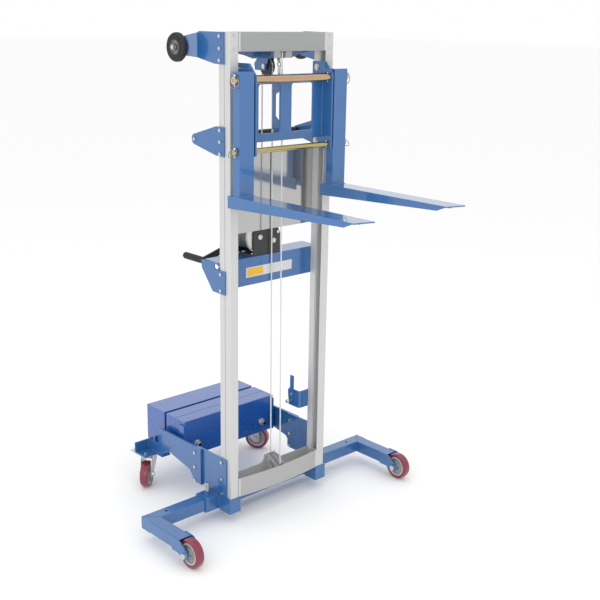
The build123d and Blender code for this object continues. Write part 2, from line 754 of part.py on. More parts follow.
# Crank arm and its turning grip
crank_dx = crank_tip[0] - pinion_x
crank_dz = crank_tip[1] - pinion_z
crank_length = math.hypot(crank_dx, crank_dz)
crank_angle = math.degrees(math.atan2(crank_dz, crank_dx))
grip_bolt_r = 5.0
with BuildPart() as crank_arm:
    with BuildSketch(Plane.XZ.offset(-crank_y)):
        with Locations((crank_length / 2, 0)):
            SlotCenterToCenter(crank_length, 24)
        Circle(17)
        Circle(shaft_r + hole_clearance, mode=Mode.SUBTRACT)
    extrude(amount=-6)
    with BuildSketch(Plane.XZ.offset(-crank_y)):
        Circle(14)
        Circle(shaft_r + hole_clearance, mode=Mode.SUBTRACT)
    extrude(amount=12)
    with BuildSketch(Plane.XZ.offset(-crank_y - 6)):
        with Locations((crank_length, 0)):
            Circle(grip_bolt_r)
    extrude(amount=-104)
placed_arm = crank_arm.part.moved(Location((pinion_x, 0, pinion_z), (0, -crank_angle, 0)))
placed_arm.label = "crank_arm"
export_step(placed_arm, "parts/crank_arm.step")

with BuildPart() as crank_grip:
    with BuildSketch(Plane.XZ.offset(-crank_y - 6 - running_gap)):
        Circle(12)
        Circle(grip_bolt_r + 0.08, mode=Mode.SUBTRACT)
    extrude(amount=-103)
    fillet(crank_grip.edges().filter_by(GeomType.CIRCLE).group_by(SortBy.RADIUS)[-1], 3)
placed_grip = crank_grip.part.moved(Location((crank_tip[0], 0, crank_tip[1])))
placed_grip.label = "crank_grip"
export_step(placed_grip, "parts/crank_grip.step")

# Base frame: cross tube for the legs, the two feet under the mast and the collars of the pull pins
collar_h = 12.0
with BuildPart() as base_frame:
    with BuildSketch(Plane.YZ.offset(-tube_half)):
        with Locations((tube_mid_y, tube_bottom + tube_height / 2)):
            RectangleRounded(tube_depth, tube_height, 4)
            Rectangle(tube_depth - 2 * tube_wall, tube_height - 2 * tube_wall, mode=Mode.SUBTRACT)
    extrude(amount=2 * tube_half)
    for side in (-1, 1):
        with Locations((side * (foot_in + foot_out) / 2, mast_y - 3, foot_bottom)):
            Box(
                foot_out - foot_in,
                tube_front - mast_y + 3,
                rail_foot - foot_bottom,
                align=(Align.CENTER, Align.MIN, Align.MIN),
            )
        with Locations((side * pin_x, tube_mid_y, tube_top)):
            Cylinder(9, collar_h, align=(Align.CENTER, Align.CENTER, Align.MIN))
    for side in (-1, 1):
        with Locations((side * pin_x, tube_mid_y, tube_top - tube_wall - 1)):
            Cylinder(
                pin_r + hole_clearance,
                tube_wall + collar_h + 2,
                align=(Align.CENTER, Align.CENTER, Align.MIN),
                mode=Mode.SUBTRACT,
            )
base_frame.part.label = "base_frame"
export_step(base_frame.part, "parts/base_frame.step")

# Straddle legs: cross arm in the tube, leg tube, wheel fork plates and the axle bolt
leg_plate_rear = mast_y - 69.0
pin_hole_x = (pin_x, pin_x + leg_travel)
for side, side_name in ((-1, "left"), (1, "right")):
    with BuildPart() as leg:
        with BuildSketch(Plane.YZ.offset(leg_inner_end)):
            with Locations((tube_mid_y, leg_bottom + leg_height / 2)):
                RectangleRounded(leg_depth, leg_height, 4)
        extrude(amount=leg_outer - leg_inner_end)
        with BuildSketch(Plane.XZ.offset(-tube_mid_y)):
            with Locations((leg_mid_x, leg_bottom + leg_height / 2)):
                RectangleRounded(leg_depth, leg_height, 4)
        extrude(amount=tube_mid_y - leg_tip_y)
        with Locations((leg_inner_end, tube_mid_y, leg_bottom + leg_wall)):
            Box(
                leg_outer - leg_wall - leg_inner_end,
                leg_depth - 2 * leg_wall,
                leg_height - 2 * leg_wall,
                align=(Align.MIN, Align.CENTER, Align.MIN),
                mode=Mode.SUBTRACT,
            )
        with Locations((leg_mid_x, leg_tip_y, leg_bottom + leg_wall)):
            Box(
                leg_depth - 2 * leg_wall,
                tube_mid_y + leg_depth / 2 - leg_wall - leg_tip_y,
                leg_height - 2 * leg_wall,
                align=(Align.CENTER, Align.MIN, Align.MIN),
                mode=Mode.SUBTRACT,
            )
        with Locations((leg_mid_x, leg_axle_y, wheel_r)):
            Cylinder(
                wheel_r + 3,
                leg_depth - 2 * leg_wall,
                rotation=(0, 90, 0),
                mode=Mode.SUBTRACT,
            )
        for hole_x in pin_hole_x:
            with Locations((hole_x, tube_mid_y, leg_bottom + leg_height - leg_wall - 1)):
                Cylinder(
                    pin_r + 0.5,
                    leg_wall + 2,
                    align=(Align.CENTER, Align.CENTER, Align.MIN),
                    mode=Mode.SUBTRACT,
                )
        for plate_x in (leg_outer - leg_depth - fork_plate_t, leg_outer):
            with BuildSketch(Plane.YZ.offset(plate_x)):
                with BuildLine():
                    Polyline(
                        (leg_plate_rear, leg_bottom),
                        (leg_plate_rear, leg_bottom + leg_height),
                        (leg_tip_y - 8, leg_bottom + leg_height),
                        (leg_axle_y - 10, wheel_r + 14),
                    )
                    ThreePointArc(
                        (leg_axle_y - 10, wheel_r + 14),
                        (leg_axle_y - 17, wheel_r - 1),
                        (leg_axle_y - 8, wheel_r - 14),
                    )
                    Polyline(
                        (leg_axle_y - 8, wheel_r - 14),
                        (leg_axle_y + 8, wheel_r - 14),
                        (leg_tip_y, leg_bottom),
                        (leg_plate_rear, leg_bottom),
                    )
                make_face()
            extrude(amount=fork_plate_t)
        with BuildSketch(Plane.YZ.offset(leg_outer - leg_depth - fork_plate_t - 8)):
            with Locations((leg_axle_y, wheel_r)):
                Circle(leg_axle_r)
        extrude(amount=leg_depth + 2 * fork_plate_t + 16)
        for head_x in (leg_outer - leg_depth - fork_plate_t - 8, leg_outer + fork_plate_t):
            with BuildSketch(Plane.YZ.offset(head_x)):
                with Locations((leg_axle_y, wheel_r)):
                    RegularPolygon(11, 6)
            extrude(amount=8)
        for spacer_x in (leg_outer - leg_depth, leg_mid_x + wheel_width / 2 + running_gap):
            with BuildSketch(Plane.YZ.offset(spacer_x)):
                with Locations((leg_axle_y, wheel_r)):
                    Circle(9)
            extrude(amount=(leg_depth - wheel_width) / 2 - running_gap)
    placed_leg = leg.part if side > 0 else leg.part.mirror(Plane.YZ)
    placed_leg.label = f"leg_{side_name}"
    export_step(placed_leg, f"parts/leg_{side_name}.step")

    with BuildPart() as leg_wheel:
        with BuildSketch(Plane.XY) as tread:
            with Locations((0, wheel_r - 12)):
                Rectangle(wheel_width, 12, align=(Align.CENTER, Align.MIN))
            fillet(tread.vertices().group_by(Axis.Y)[-1], 4)
        revolve(axis=Axis.X)
        with BuildSketch(Plane.XY):
            with Locations((0, leg_axle_r + 0.05)):
                Rectangle(wheel_width, 10, align=(Align.CENTER, Align.MIN))
            with Locations((0, leg_axle_r + 8)):
                Rectangle(wheel_width - 16, wheel_r - leg_axle_r - 20, align=(Align.CENTER, Align.MIN))
            with Locations((0, wheel_r - 16)):
                Rectangle(wheel_width - 4, 4, align=(Align.CENTER, Align.MIN))
        revolve(axis=Axis.X)
    placed_wheel = leg_wheel.part.moved(Location((side * leg_mid_x, leg_axle_y, wheel_r)))
    placed_wheel.label = f"leg_wheel_{side_name}"
    export_step(placed_wheel, f"parts/leg_wheel_{side_name}.step")

    with BuildPart() as pull_pin:
        pin_low = leg_bottom + leg_height + running_gap
        with Locations((side * pin_x, tube_mid_y, pin_low)):
            Cylinder(pin_r, knob_z + knob_h - pin_low, align=(Align.CENTER, Align.CENTER, Align.MIN))
        shoulder_z = tube_top + collar_h + pin_drop + 1
        with Locations((side * pin_x, tube_mid_y, shoulder_z)):
            Cylinder(7, knob_z - shoulder_z, align=(Align.CENTER, Align.CENTER, Align.MIN))
        with Locations((side * pin_x, tube_mid_y, knob_z)):
            Cylinder(10, knob_h, align=(Align.CENTER, Align.CENTER, Align.MIN))
    pull_pin.part.label = f"pull_pin_{side_name}"
    export_step(pull_pin.part, f"parts/pull_pin_{side_name}.step")

# Lower side plates on the feet
side_plate_back = mast_y + 205.0
with BuildPart() as lower_side_plates:
    with BuildSketch(Plane.YZ.offset(rail_out)):
        with BuildLine():
            Polyline(
                (mast_y + 20, rail_foot),
                (tube_front, rail_foot),
                (tube_front, tube_top),
                (side_plate_back - 8, tube_top),
                (side_plate_back, tube_top + 8),
                (side_plate_back, 239),
                (mast_y + 72, 241),
                (mast_y + 20, 238),
                close=True,
            )
        make_face()
        for bolt_z in base_bolts:
            with Locations((rail_bolt_y, bolt_z)):
                Circle(bolt_r + hole_clearance, mode=Mode.SUBTRACT)
        for bolt_z in arm_bolts:
            with Locations((arm_bolt_y, bolt_z)):
                Circle(bolt_r + hole_clearance, mode=Mode.SUBTRACT)
    extrude(amount=side_plate_t)
    mirror(about=Plane.YZ)
lower_side_plates.part.label = "lower_side_plates"
export_step(lower_side_plates.part, "parts/lower_side_plates.step")

# Rear arms, lapped outside the side plates
arm_in = rail_out + side_plate_t
arm_back = mast_y + 421.0
with BuildPart() as rear_arms:
    with BuildSketch(Plane.YZ.offset(arm_in)):
        with BuildLine():
            Polyline(
                (mast_y + 156, 239),
                (mast_y + 404, 239),
                (arm_back, 232),
                (arm_back, flange_top),
                (mast_y + 392, flange_top),
                (mast_y + 372, 150),
                (mast_y + 355, 164),
                (mast_y + 338, 160),
                (mast_y + 222, 137),
                (mast_y + 208, 122),
                (mast_y + 201, 100),
                (mast_y + 156, 98),
                close=True,
            )
        make_face()
        for bolt_z in arm_bolts:
            with Locations((arm_bolt_y, bolt_z)):
                Circle(bolt_r + hole_clearance, mode=Mode.SUBTRACT)
    extrude(amount=arm_t)
    mirror(about=Plane.YZ)
rear_arms.part.label = "rear_arms"
export_step(rear_arms.part, "parts/rear_arms.step")

# Caster brackets: angles under the rear ends of the arms
bracket_in = 192.0
bracket_out = 304.0
bracket_front = caster_y - 89.0
upright_y = caster_y + 11.0
plate_front = caster_y - 50.0
plate_depth = 100.0
caster_bolt_y = (caster_y - 33.0, caster_y + 33.0)
caster_bolt_x = (caster_x - 40.0, caster_x + 40.0)
with BuildPart() as caster_brackets:
    with Locations((bracket_in, bracket_front, flange_top - flange_t)):
        Box(bracket_out - bracket_in, upright_y + flange_t - bracket_front, flange_t, align=Align.MIN)
    with Locations((weight_half + 5, upright_y, flange_top - flange_t)):
        Box(bracket_out - weight_half - 5, flange_t, 42, align=Align.MIN)
    with Locations((bracket_in, bracket_front, flange_top - flange_t)):
        Box(20, mast_y + 427 - bracket_front, flange_t, align=Align.MIN, mode=Mode.SUBTRACT)
    with Locations((arm_in + arm_t + 8, bracket_front, flange_top - flange_t)):
        Box(80, mast_y + 427 - bracket_front, flange_t, align=Align.MIN, mode=Mode.SUBTRACT)
    with Locations(*[(bolt_x, caster_bolt_y[0], flange_top) for bolt_x in caster_bolt_x]):
        Hole(bolt_r + hole_clearance, 10)
    with Locations((arm_in + arm_t / 2, arm_back, flange_top)):
        Box(arm_t, upright_y - arm_back, 36, align=(Align.CENTER, Align.MIN, Align.MIN))
    mirror(about=Plane.YZ)
caster_brackets.part.label = "caster_brackets"
export_step(caster_brackets.part, "parts/caster_brackets.step")

# Caster top plates
plate_top = flange_top - flange_t
plate_bottom = plate_top - caster_plate_t
with BuildPart() as caster_plates:
    with Locations((caster_x - 54, plate_front, plate_bottom)):
        Box(108, plate_depth, caster_plate_t, align=Align.MIN)
    with Locations(*[(bolt_x, bolt_y, plate_top) for bolt_x in caster_bolt_x for bolt_y in caster_bolt_y]):
        Hole(bolt_r + hole_clearance, 10)
    with Locations((caster_x, caster_y, plate_bottom)):
        Cylinder(26, 8, align=(Align.CENTER, Align.CENTER, Align.MAX))
    with Locations((caster_x, caster_y, plate_top)):
        Hole(6 + 0.08, 30)
    mirror(about=Plane.YZ)
caster_plates.part.label = "caster_plates"
export_step(caster_plates.part, "parts/caster_plates.step")

# Swivel yokes, caster wheels and brake pedals, left and right
race_bottom = plate_bottom - 8.0
yoke_top = race_bottom - running_gap
yoke_leg_in = wheel_width / 2 + 3
yoke_t = 3.0
pedal_y = 17.0
pedal_z = 92.0
swivels = ((-1, "left", (-0.77, -0.64)), (1, "right", (0.5, -0.866)))
for side, side_name, trail in swivels:
    trail_length = math.hypot(trail[0], trail[1])
    swivel_plane = Plane(
        origin=(side * caster_x, caster_y, 0),
        x_dir=(-trail[1] / trail_length, trail[0] / trail_length, 0),
        z_dir=(0, 0, 1),
    )
    side_view = Plane(origin=swivel_plane.origin, x_dir=swivel_plane.y_dir, z_dir=swivel_plane.x_dir)
    with BuildPart() as caster_yoke:
        with BuildSketch(swivel_plane.offset(yoke_top)):
            Circle(25)
            with Locations((0, -caster_lead / 2)):
                Rectangle(2 * yoke_leg_in, caster_lead)
        extrude(amount=-yoke_t)
        for leg_x in (-yoke_leg_in - yoke_t, yoke_leg_in):
            with BuildSketch(side_view.offset(leg_x)):
                with BuildLine():
                    Polyline(
                        (pedal_y + 9, yoke_top),
                        (pedal_y + 9, pedal_z - 5),
                        (pedal_y + 3, pedal_z - 9),
                        (-caster_lead + 15, wheel_r - 10),
                        (-caster_lead + 8, wheel_r - 16),
                        (-caster_lead - 8, wheel_r - 16),
                        (-caster_lead - 15, wheel_r - 8),
                        (-caster_lead - 15, wheel_r + 20),
                        (-caster_lead - 4, yoke_top),
                        close=True,
                    )
                make_face()
                with Locations((pedal_y, pedal_z)):
                    Circle(3 + hole_clearance, mode=Mode.SUBTRACT)
            extrude(amount=yoke_t)
        with BuildSketch(side_view.offset(-yoke_leg_in - yoke_t - 7)):
            with Locations((-caster_lead, wheel_r)):
                Circle(leg_axle_r)
        extrude(amount=2 * yoke_leg_in + 2 * yoke_t + 14)
        for head_x in (-yoke_leg_in - yoke_t - 7, yoke_leg_in + yoke_t):
            with BuildSketch(side_view.offset(head_x)):
                with Locations((-caster_lead, wheel_r)):
                    RegularPolygon(9, 6)
            extrude(amount=7)
        for spacer_x in (-yoke_leg_in, wheel_width / 2 + running_gap):
            with BuildSketch(side_view.offset(spacer_x)):
                with Locations((-caster_lead, wheel_r)):
                    Circle(9)
            extrude(amount=yoke_leg_in - wheel_width / 2 - running_gap)
        with BuildSketch(swivel_plane.offset(yoke_top - yoke_t)):
            Circle(6)
        extrude(amount=plate_top + 3 - yoke_top)
    caster_yoke.part.label = f"caster_yoke_{side_name}"
    export_step(caster_yoke.part, f"parts/caster_yoke_{side_name}.step")

    with BuildPart() as caster_wheel:
        with BuildSketch(Plane.XY) as tread:
            with Locations((0, wheel_r - 12)):
                Rectangle(wheel_width, 12, align=(Align.CENTER, Align.MIN))
            fillet(tread.vertices().group_by(Axis.Y)[-1], 4)
        revolve(axis=Axis.X)
        with BuildSketch(Plane.XY):
            with Locations((0, leg_axle_r + 0.05)):
                Rectangle(wheel_width, 10, align=(Align.CENTER, Align.MIN))
            with Locations((0, leg_axle_r + 8)):
                Rectangle(wheel_width - 16, wheel_r - leg_axle_r - 20, align=(Align.CENTER, Align.MIN))
            with Locations((0, wheel_r - 16)):
                Rectangle(wheel_width - 4, 4, align=(Align.CENTER, Align.MIN))
        revolve(axis=Axis.X)
    wheel_place = swivel_plane.location * Location((0, -caster_lead, wheel_r))
    placed_wheel = caster_wheel.part.moved(wheel_place)
    placed_wheel.label = f"caster_wheel_{side_name}"
    export_step(placed_wheel, f"parts/caster_wheel_{side_name}.step")

    with BuildPart() as brake_pedal:
        with BuildSketch(side_view.offset(-yoke_leg_in + running_gap)):
            with BuildLine():
                Polyline(
                    (pedal_y - 5, pedal_z + 5),
                    (pedal_y - 5, pedal_z - 5),
                    (pedal_y + 6, pedal_z - 6),
                    (pedal_y + 30, pedal_z + 4),
                    (pedal_y + 31, pedal_z + 8),
                    (pedal_y + 8, pedal_z + 6),
                    close=True,
                )
            make_face()
        extrude(amount=2 * yoke_leg_in - 2 * running_gap)
        with BuildSketch(side_view.offset(-yoke_leg_in - yoke_t - 2)):
            with Locations((pedal_y, pedal_z)):
                Circle(3)
        extrude(amount=2 * yoke_leg_in + 2 * yoke_t + 4)
    brake_pedal.part.label = f"brake_pedal_{side_name}"
    export_step(brake_pedal.part, f"parts/brake_pedal_{side_name}.step")

# Counterweights: a single block, a second block against it and a double block at the rear
weight_blocks = ((mast_y + 284.0, 57.8), (mast_y + 342.0, 58.0), (mast_y + 413.0, weight_depth))
with BuildPart() as counterweights:
    for block_y, block_depth in weight_blocks:
        with BuildSketch(Plane.XY.offset(weight_bottom)):
            with Locations((0, block_y)):
                Rectangle(2 * weight_half, block_depth, align=(Align.CENTER, Align.MIN))
        extrude(amount=weight_height)
    chamfer(counterweights.edges().filter_by(Axis.X).group_by(Axis.Z)[-1], 1.5)
    with BuildSketch(Plane.XZ.offset(-weight_blocks[0][0] + 5)):
        with Locations((-tie_x, tie_z), (tie_x, tie_z)):
            Circle(tie_r + hole_clearance)
    extrude(amount=-260, mode=Mode.SUBTRACT)
counterweights.part.label = "counterweights"
export_step(counterweights.part, "parts/counterweights.step")

# Weight tray: flat shelf on two cross bars between the arms, with side stops
weight_front = weight_blocks[0][0]
weight_rear = weight_blocks[2][0] + weight_blocks[2][1]
tray_t = 5.0
with BuildPart() as weight_tray:
    with Locations((0, weight_front + 4, weight_bottom - tray_t)):
        Box(2 * weight_half, weight_rear - weight_front - 12, tray_t, align=(Align.CENTER, Align.MIN, Align.MIN))
    for bar_y in (mast_y + 372, weight_front + 16):
        with Locations((0, bar_y, weight_bottom)):
            Box(2 * arm_in, 5, 34, align=(Align.CENTER, Align.MIN, Align.MAX))
        with Locations((0, bar_y, weight_bottom)):
            Box(2 * arm_in, 34, tray_t, align=(Align.CENTER, Align.MIN, Align.MAX))
    for side in (-1, 1):
        with Locations((side * (weight_half + 3), mast_y + 298, weight_bottom - tray_t)):
            Box(5, 30, 281 - weight_bottom + tray_t, align=(Align.CENTER, Align.CENTER, Align.MIN))
weight_tray.part.label = "weight_tray"
export_step(weight_tray.part, "parts/weight_tray.step")

# Tie rods through the weights, with washers and nuts
with BuildPart() as tie_rods:
    for side in (-1, 1):
        with BuildSketch(Plane.XZ.offset(-weight_front + 18)):
            with Locations((side * tie_x, tie_z)):
                Circle(tie_r)
        extrude(amount=weight_front - weight_rear - 18 - rod_end)
        for face_y, way in ((weight_front, 1), (weight_rear, -1)):
            with BuildSketch(Plane.XZ.offset(-face_y)):
                with Locations((side * tie_x, tie_z)):
                    Circle(15)
            extrude(amount=way * 2)
            with BuildSketch(Plane.XZ.offset(-face_y)):
                with Locations((side * tie_x, tie_z)):
                    RegularPolygon(12, 6)
            extrude(amount=way * 12)
tie_rods.part.label = "tie_rods"
export_step(tie_rods.part, "parts/tie_rods.step")

# Carriage frame: side plates, windowed back plate and the channel post in the middle
back_front = mast_y - 14.0
back_t = 4.0
post_half = 24.5
window_half_w = 120.0
plate_low = carriage_low + 38.0
plate_high = carriage_high - 38.0
window_low = plate_low + 27.0
window_high = plate_high - 30.0
post_top = plate_high - 12.0
post_bolt_z = plate_low + 28.0
with BuildPart() as carriage_frame:
    with BuildSketch(Plane.YZ.offset(carriage_half - carriage_t)):
        with BuildLine():
            Polyline(
                (carriage_front, carriage_low),
                (mast_y + 36, carriage_low),
                (mast_y + 36, carriage_high),
                (mast_y - 27, carriage_high),
                (carriage_front, carriage_high - 37),
                close=True,
            )
        make_face()
        with Locations((rod_y, upper_rod_z)):
            Circle(upper_rod_r + rod_fit, mode=Mode.SUBTRACT)
        with Locations((rod_y, lower_rod_z)):
            Circle(lower_rod_r + rod_fit, mode=Mode.SUBTRACT)
        for axle_z in roller_z:
            with Locations((roller_y, axle_z)):
                Circle(bolt_r + hole_clearance, mode=Mode.SUBTRACT)
    extrude(amount=carriage_t)
    mirror(about=Plane.YZ)
    with BuildSketch(Plane.XZ.offset(-back_front)):
        with Locations((0, (plate_low + plate_high) / 2)):
            Rectangle(2 * carriage_half - 2 * carriage_t, plate_high - plate_low)
        for side in (-1, 1):
            with Locations((side * (post_half + window_half_w) / 2, (window_low + window_high) / 2)):
                RectangleRounded(window_half_w - post_half, window_high - window_low, 9, mode=Mode.SUBTRACT)
    extrude(amount=-back_t)
    with BuildSketch(Plane.YZ.offset(post_half - 4)) as post_side:
        with BuildLine():
            Polyline(
                (back_front + back_t, plate_low + 10),
                (mast_y + 28, plate_low + 16),
                (mast_y + 28, post_top),
                (back_front + back_t, post_top),
                close=True,
            )
        make_face()
        with BuildLine():
            Polyline(
                (mast_y - 7, window_low + 35),
                (mast_y + 14, window_low + 51),
                (mast_y + 14, window_high - 37),
                (mast_y - 7, window_high - 24),
                close=True,
            )
        make_face(mode=Mode.SUBTRACT)
        with Locations((mast_y + 20, post_bolt_z)):
            Circle(bolt_r + hole_clearance, mode=Mode.SUBTRACT)
    extrude(amount=4)
    extrude(post_side.sketch.moved(Location((4 - 2 * post_half, 0, 0))), amount=4)
    with Locations((0, mast_y + 14, post_top - 5)):
        Box(2 * post_half, 18, 5, align=(Align.CENTER, Align.MIN, Align.MIN))
    with Locations((0, eye_y, post_top)):
        Hole(5 + hole_clearance, 10)
carriage_frame.part.label = "carriage_frame"
export_step(carriage_frame.part, "parts/carriage_frame.step")

# Carriage rods that carry the forks
with BuildPart() as carriage_rods:
    for rod_z, rod_r in ((upper_rod_z, upper_rod_r), (lower_rod_z, lower_rod_r)):
        with BuildSketch(Plane.YZ.offset(-rod_half)):
            with Locations((rod_y, rod_z)):
                Circle(rod_r)
        extrude(amount=2 * rod_half)
        for side in (-1, 1):
            with BuildSketch(Plane.XY.offset(rod_z - rod_r - 1)):
                with Locations((side * (rod_half - 5), rod_y)):
                    Circle(2.1)
            extrude(amount=2 * rod_r + 2, mode=Mode.SUBTRACT)
carriage_rods.part.label = "carriage_rods"
export_step(carriage_rods.part, "parts/carriage_rods.step")

# Carriage fasteners: ring pins in the rods, roller axles, eye bolt and post bolt
axle_end = roller_x + roller_width + 1
with BuildPart() as carriage_fasteners:
    for rod_z, rod_r in ((upper_rod_z, upper_rod_r), (lower_rod_z, lower_rod_r)):
        with BuildSketch(Plane.XY.offset(rod_z - rod_r - 7)):
            with Locations((rod_half - 5, rod_y)):
                Circle(2)
        extrude(amount=2 * rod_r + 12)
        with Locations((rod_half - 5, rod_y, rod_z + rod_r + 4)):
            Cylinder(4.5, 6)
    for axle_z in roller_z:
        with BuildSketch(Plane.YZ.offset(carriage_half - carriage_t - bolt_head_t)):
            with Locations((roller_y, axle_z)):
                RegularPolygon(bolt_head_r + 1.5, 6)
        extrude(amount=bolt_head_t)
        with BuildSketch(Plane.YZ.offset(carriage_half - carriage_t)):
            with Locations((roller_y, axle_z)):
                Circle(bolt_r)
        extrude(amount=axle_end + 2 - carriage_half + carriage_t)
        with BuildSketch(Plane.YZ.offset(carriage_half)):
            with Locations((roller_y, axle_z)):
                Circle(8)
        extrude(amount=roller_x - carriage_half - running_gap)
        with BuildSketch(Plane.YZ.offset(roller_x + roller_width + running_gap)):
            with Locations((roller_y, axle_z)):
                Circle(6.5)
        extrude(amount=2.4)
    mirror(about=Plane.YZ)
    with BuildSketch(Plane.YZ.offset(-post_half - 5)):
        with Locations((mast_y + 20, post_bolt_z)):
            RegularPolygon(7, 6)
    extrude(amount=5)
    with BuildSketch(Plane.YZ.offset(-post_half)):
        with Locations((mast_y + 20, post_bolt_z)):
            Circle(bolt_r)
    extrude(amount=2 * post_half)
    with BuildSketch(Plane.YZ.offset(post_half)):
        with Locations((mast_y + 20, post_bolt_z)):
            RegularPolygon(7, 6)
    extrude(amount=6)
    with Locations((0, eye_y, post_top)):
        Cylinder(8, 2, align=(Align.CENTER, Align.CENTER, Align.MIN))
    with Locations((0, eye_y, post_top - 15)):
        Cylinder(5, eye_z - eye_ring_r - post_top + 15, align=(Align.CENTER, Align.CENTER, Align.MIN))
    with Locations((0, eye_y, post_top - 11)):
        Cylinder(8, 6, align=(Align.CENTER, Align.CENTER, Align.MIN))
    with Locations((0, eye_y, eye_z)):
        Torus(eye_ring_r, eye_wire_r, rotation=(0, 90, 0))
carriage_fasteners.part.label = "carriage_fasteners"
export_step(carriage_fasteners.part, "parts/carriage_fasteners.step")

# Carriage rollers in the inner rails
rollers = (
    ("roller_upper_left", -1, roller_z[0]),
    ("roller_upper_right", 1, roller_z[0]),
    ("roller_lower_left", -1, roller_z[1]),
    ("roller_lower_right", 1, roller_z[1]),
)
for roller_name, side, axle_z in rollers:
    with BuildPart() as roller:
        with BuildSketch(Plane.YZ.offset(-roller_width / 2)):
            Circle(roller_r)
            Circle(bolt_r + 0.05, mode=Mode.SUBTRACT)
        extrude(amount=roller_width)
        chamfer(roller.edges().filter_by(GeomType.CIRCLE).group_by(SortBy.RADIUS)[-1], 1)
    placed_roller = roller.part.moved(Location((side * (roller_x + roller_width / 2), roller_y, axle_z)))
    placed_roller.label = roller_name
    export_step(placed_roller, f"parts/{roller_name}.step")

# Forks: solid shank with rod holes, welded on an inverted channel blade, both of the same hand
blade_low = fork_top - 41.0
for side_name, fork_x in (("left", -fork_in - fork_width), ("right", fork_in)):
    shank_x = fork_x + 5 if fork_x > 0 else fork_x + fork_width - 5 - shank_width
    with BuildPart() as fork:
        with BuildSketch(Plane.YZ.offset(fork_x)):
            with BuildLine():
                Polyline(
                    (blade_back, fork_top),
                    (blade_back, blade_low),
                    (mast_y - fork_reach + 58, fork_top - 18.5),
                    (mast_y - fork_reach + 24, fork_top - fork_t),
                    (mast_y - fork_reach, fork_top - fork_t),
                    (mast_y - fork_reach, fork_top),
                    close=True,
                )
            make_face()
        extrude(amount=fork_width)
        with BuildSketch(Plane.YZ.offset(fork_x + fork_t)):
            with BuildLine():
                Polyline(
                    (blade_back + 1, fork_top - fork_t),
                    (blade_back + 1, blade_low - 1),
                    (mast_y - fork_reach + 17, blade_low - 1),
                    (mast_y - fork_reach + 17, fork_top - fork_t),
                    close=True,
                )
            make_face()
        extrude(amount=fork_width - 2 * fork_t, mode=Mode.SUBTRACT)
        with BuildSketch(Plane.XY.offset(fork_top + 1)):
            with BuildLine():
                Polyline(
                    (fork_x - 1, mast_y - fork_reach + 19),
                    (fork_x - 1, mast_y - fork_reach - 1),
                    (fork_x + fork_width, mast_y - fork_reach - 1),
                    close=True,
                )
            make_face()
        extrude(amount=-30, mode=Mode.SUBTRACT)
        with BuildSketch(Plane.YZ.offset(shank_x)):
            with Locations((carriage_front, fork_top)):
                Rectangle(shank_t, shank_top - fork_top, align=(Align.MIN, Align.MIN))
            with Locations((rod_y, upper_rod_z)):
                Circle(upper_rod_r + rod_fit, mode=Mode.SUBTRACT)
            with Locations((rod_y, lower_rod_z)):
                Circle(lower_rod_r + rod_fit, mode=Mode.SUBTRACT)
        extrude(amount=shank_width)
    fork.part.label = f"fork_{side_name}"
    export_step(fork.part, f"parts/fork_{side_name}.step")

# Mast latch on the right outer rail: bent strap, lever with its pivot, and a pull knob
strap_t = 4.0
strap_x = 150.0
pivot_y = mast_y + 96.0
pivot_z = 372.0
with BuildPart() as latch_bracket:
    with BuildSketch(Plane.XY.offset(325)):
        with BuildLine():
            Line((rail_out - 10, outer_back), (strap_x + 10, outer_back))
            RadiusArc((strap_x + 10, outer_back), (strap_x, outer_back + 10), 10)
            Line((strap_x, outer_back + 10), (strap_x, mast_y + 116))
            Line((strap_x, mast_y + 116), (strap_x + strap_t, mast_y + 116))
            Line((strap_x + strap_t, mast_y + 116), (strap_x + strap_t, outer_back + 10))
            RadiusArc((strap_x + strap_t, outer_back + 10), (strap_x + 10, outer_back + strap_t), -6)
            Line((strap_x + 10, outer_back + strap_t), (rail_out - 10, outer_back + strap_t))
            Line((rail_out - 10, outer_back + strap_t), (rail_out - 10, outer_back))
        make_face()
    extrude(amount=67)
    with BuildSketch(Plane.YZ.offset(strap_x - 1)):
        with Locations((pivot_y, pivot_z)):
            Circle(bolt_r + hole_clearance)
    extrude(amount=strap_t + 2, mode=Mode.SUBTRACT)
latch_bracket.part.label = "latch_bracket"
export_step(latch_bracket.part, "parts/latch_bracket.step")

with BuildPart() as latch_lever:
    with BuildSketch(Plane.YZ.offset(strap_x - running_gap - 4)):
        with BuildLine():
            Polyline(
                (pivot_y - 9, pivot_z - 12),
                (pivot_y - 9, pivot_z + 75),
                (pivot_y + 9, pivot_z + 75),
                (pivot_y + 9, pivot_z + 20),
                (pivot_y + 20, pivot_z + 16),
                (pivot_y + 19, pivot_z - 8),
                (pivot_y + 14, pivot_z - 34),
                (pivot_y - 2, pivot_z - 34),
                close=True,
            )
        make_face()
        with Locations((pivot_y, pivot_z)):
            Circle(bolt_r + 0.08, mode=Mode.SUBTRACT)
    extrude(amount=4)
    with BuildSketch(Plane.YZ.offset(strap_x - running_gap - 4)):
        with Locations((pivot_y + 7, pivot_z - 26)):
            Circle(3)
    extrude(amount=-12)
    with BuildSketch(Plane.YZ.offset(strap_x - running_gap - 4 - 12)):
        with Locations((pivot_y + 7, pivot_z - 26)):
            Circle(6)
    extrude(amount=-7)
latch_lever.part.label = "latch_lever"
export_step(latch_lever.part, "parts/latch_lever.step")

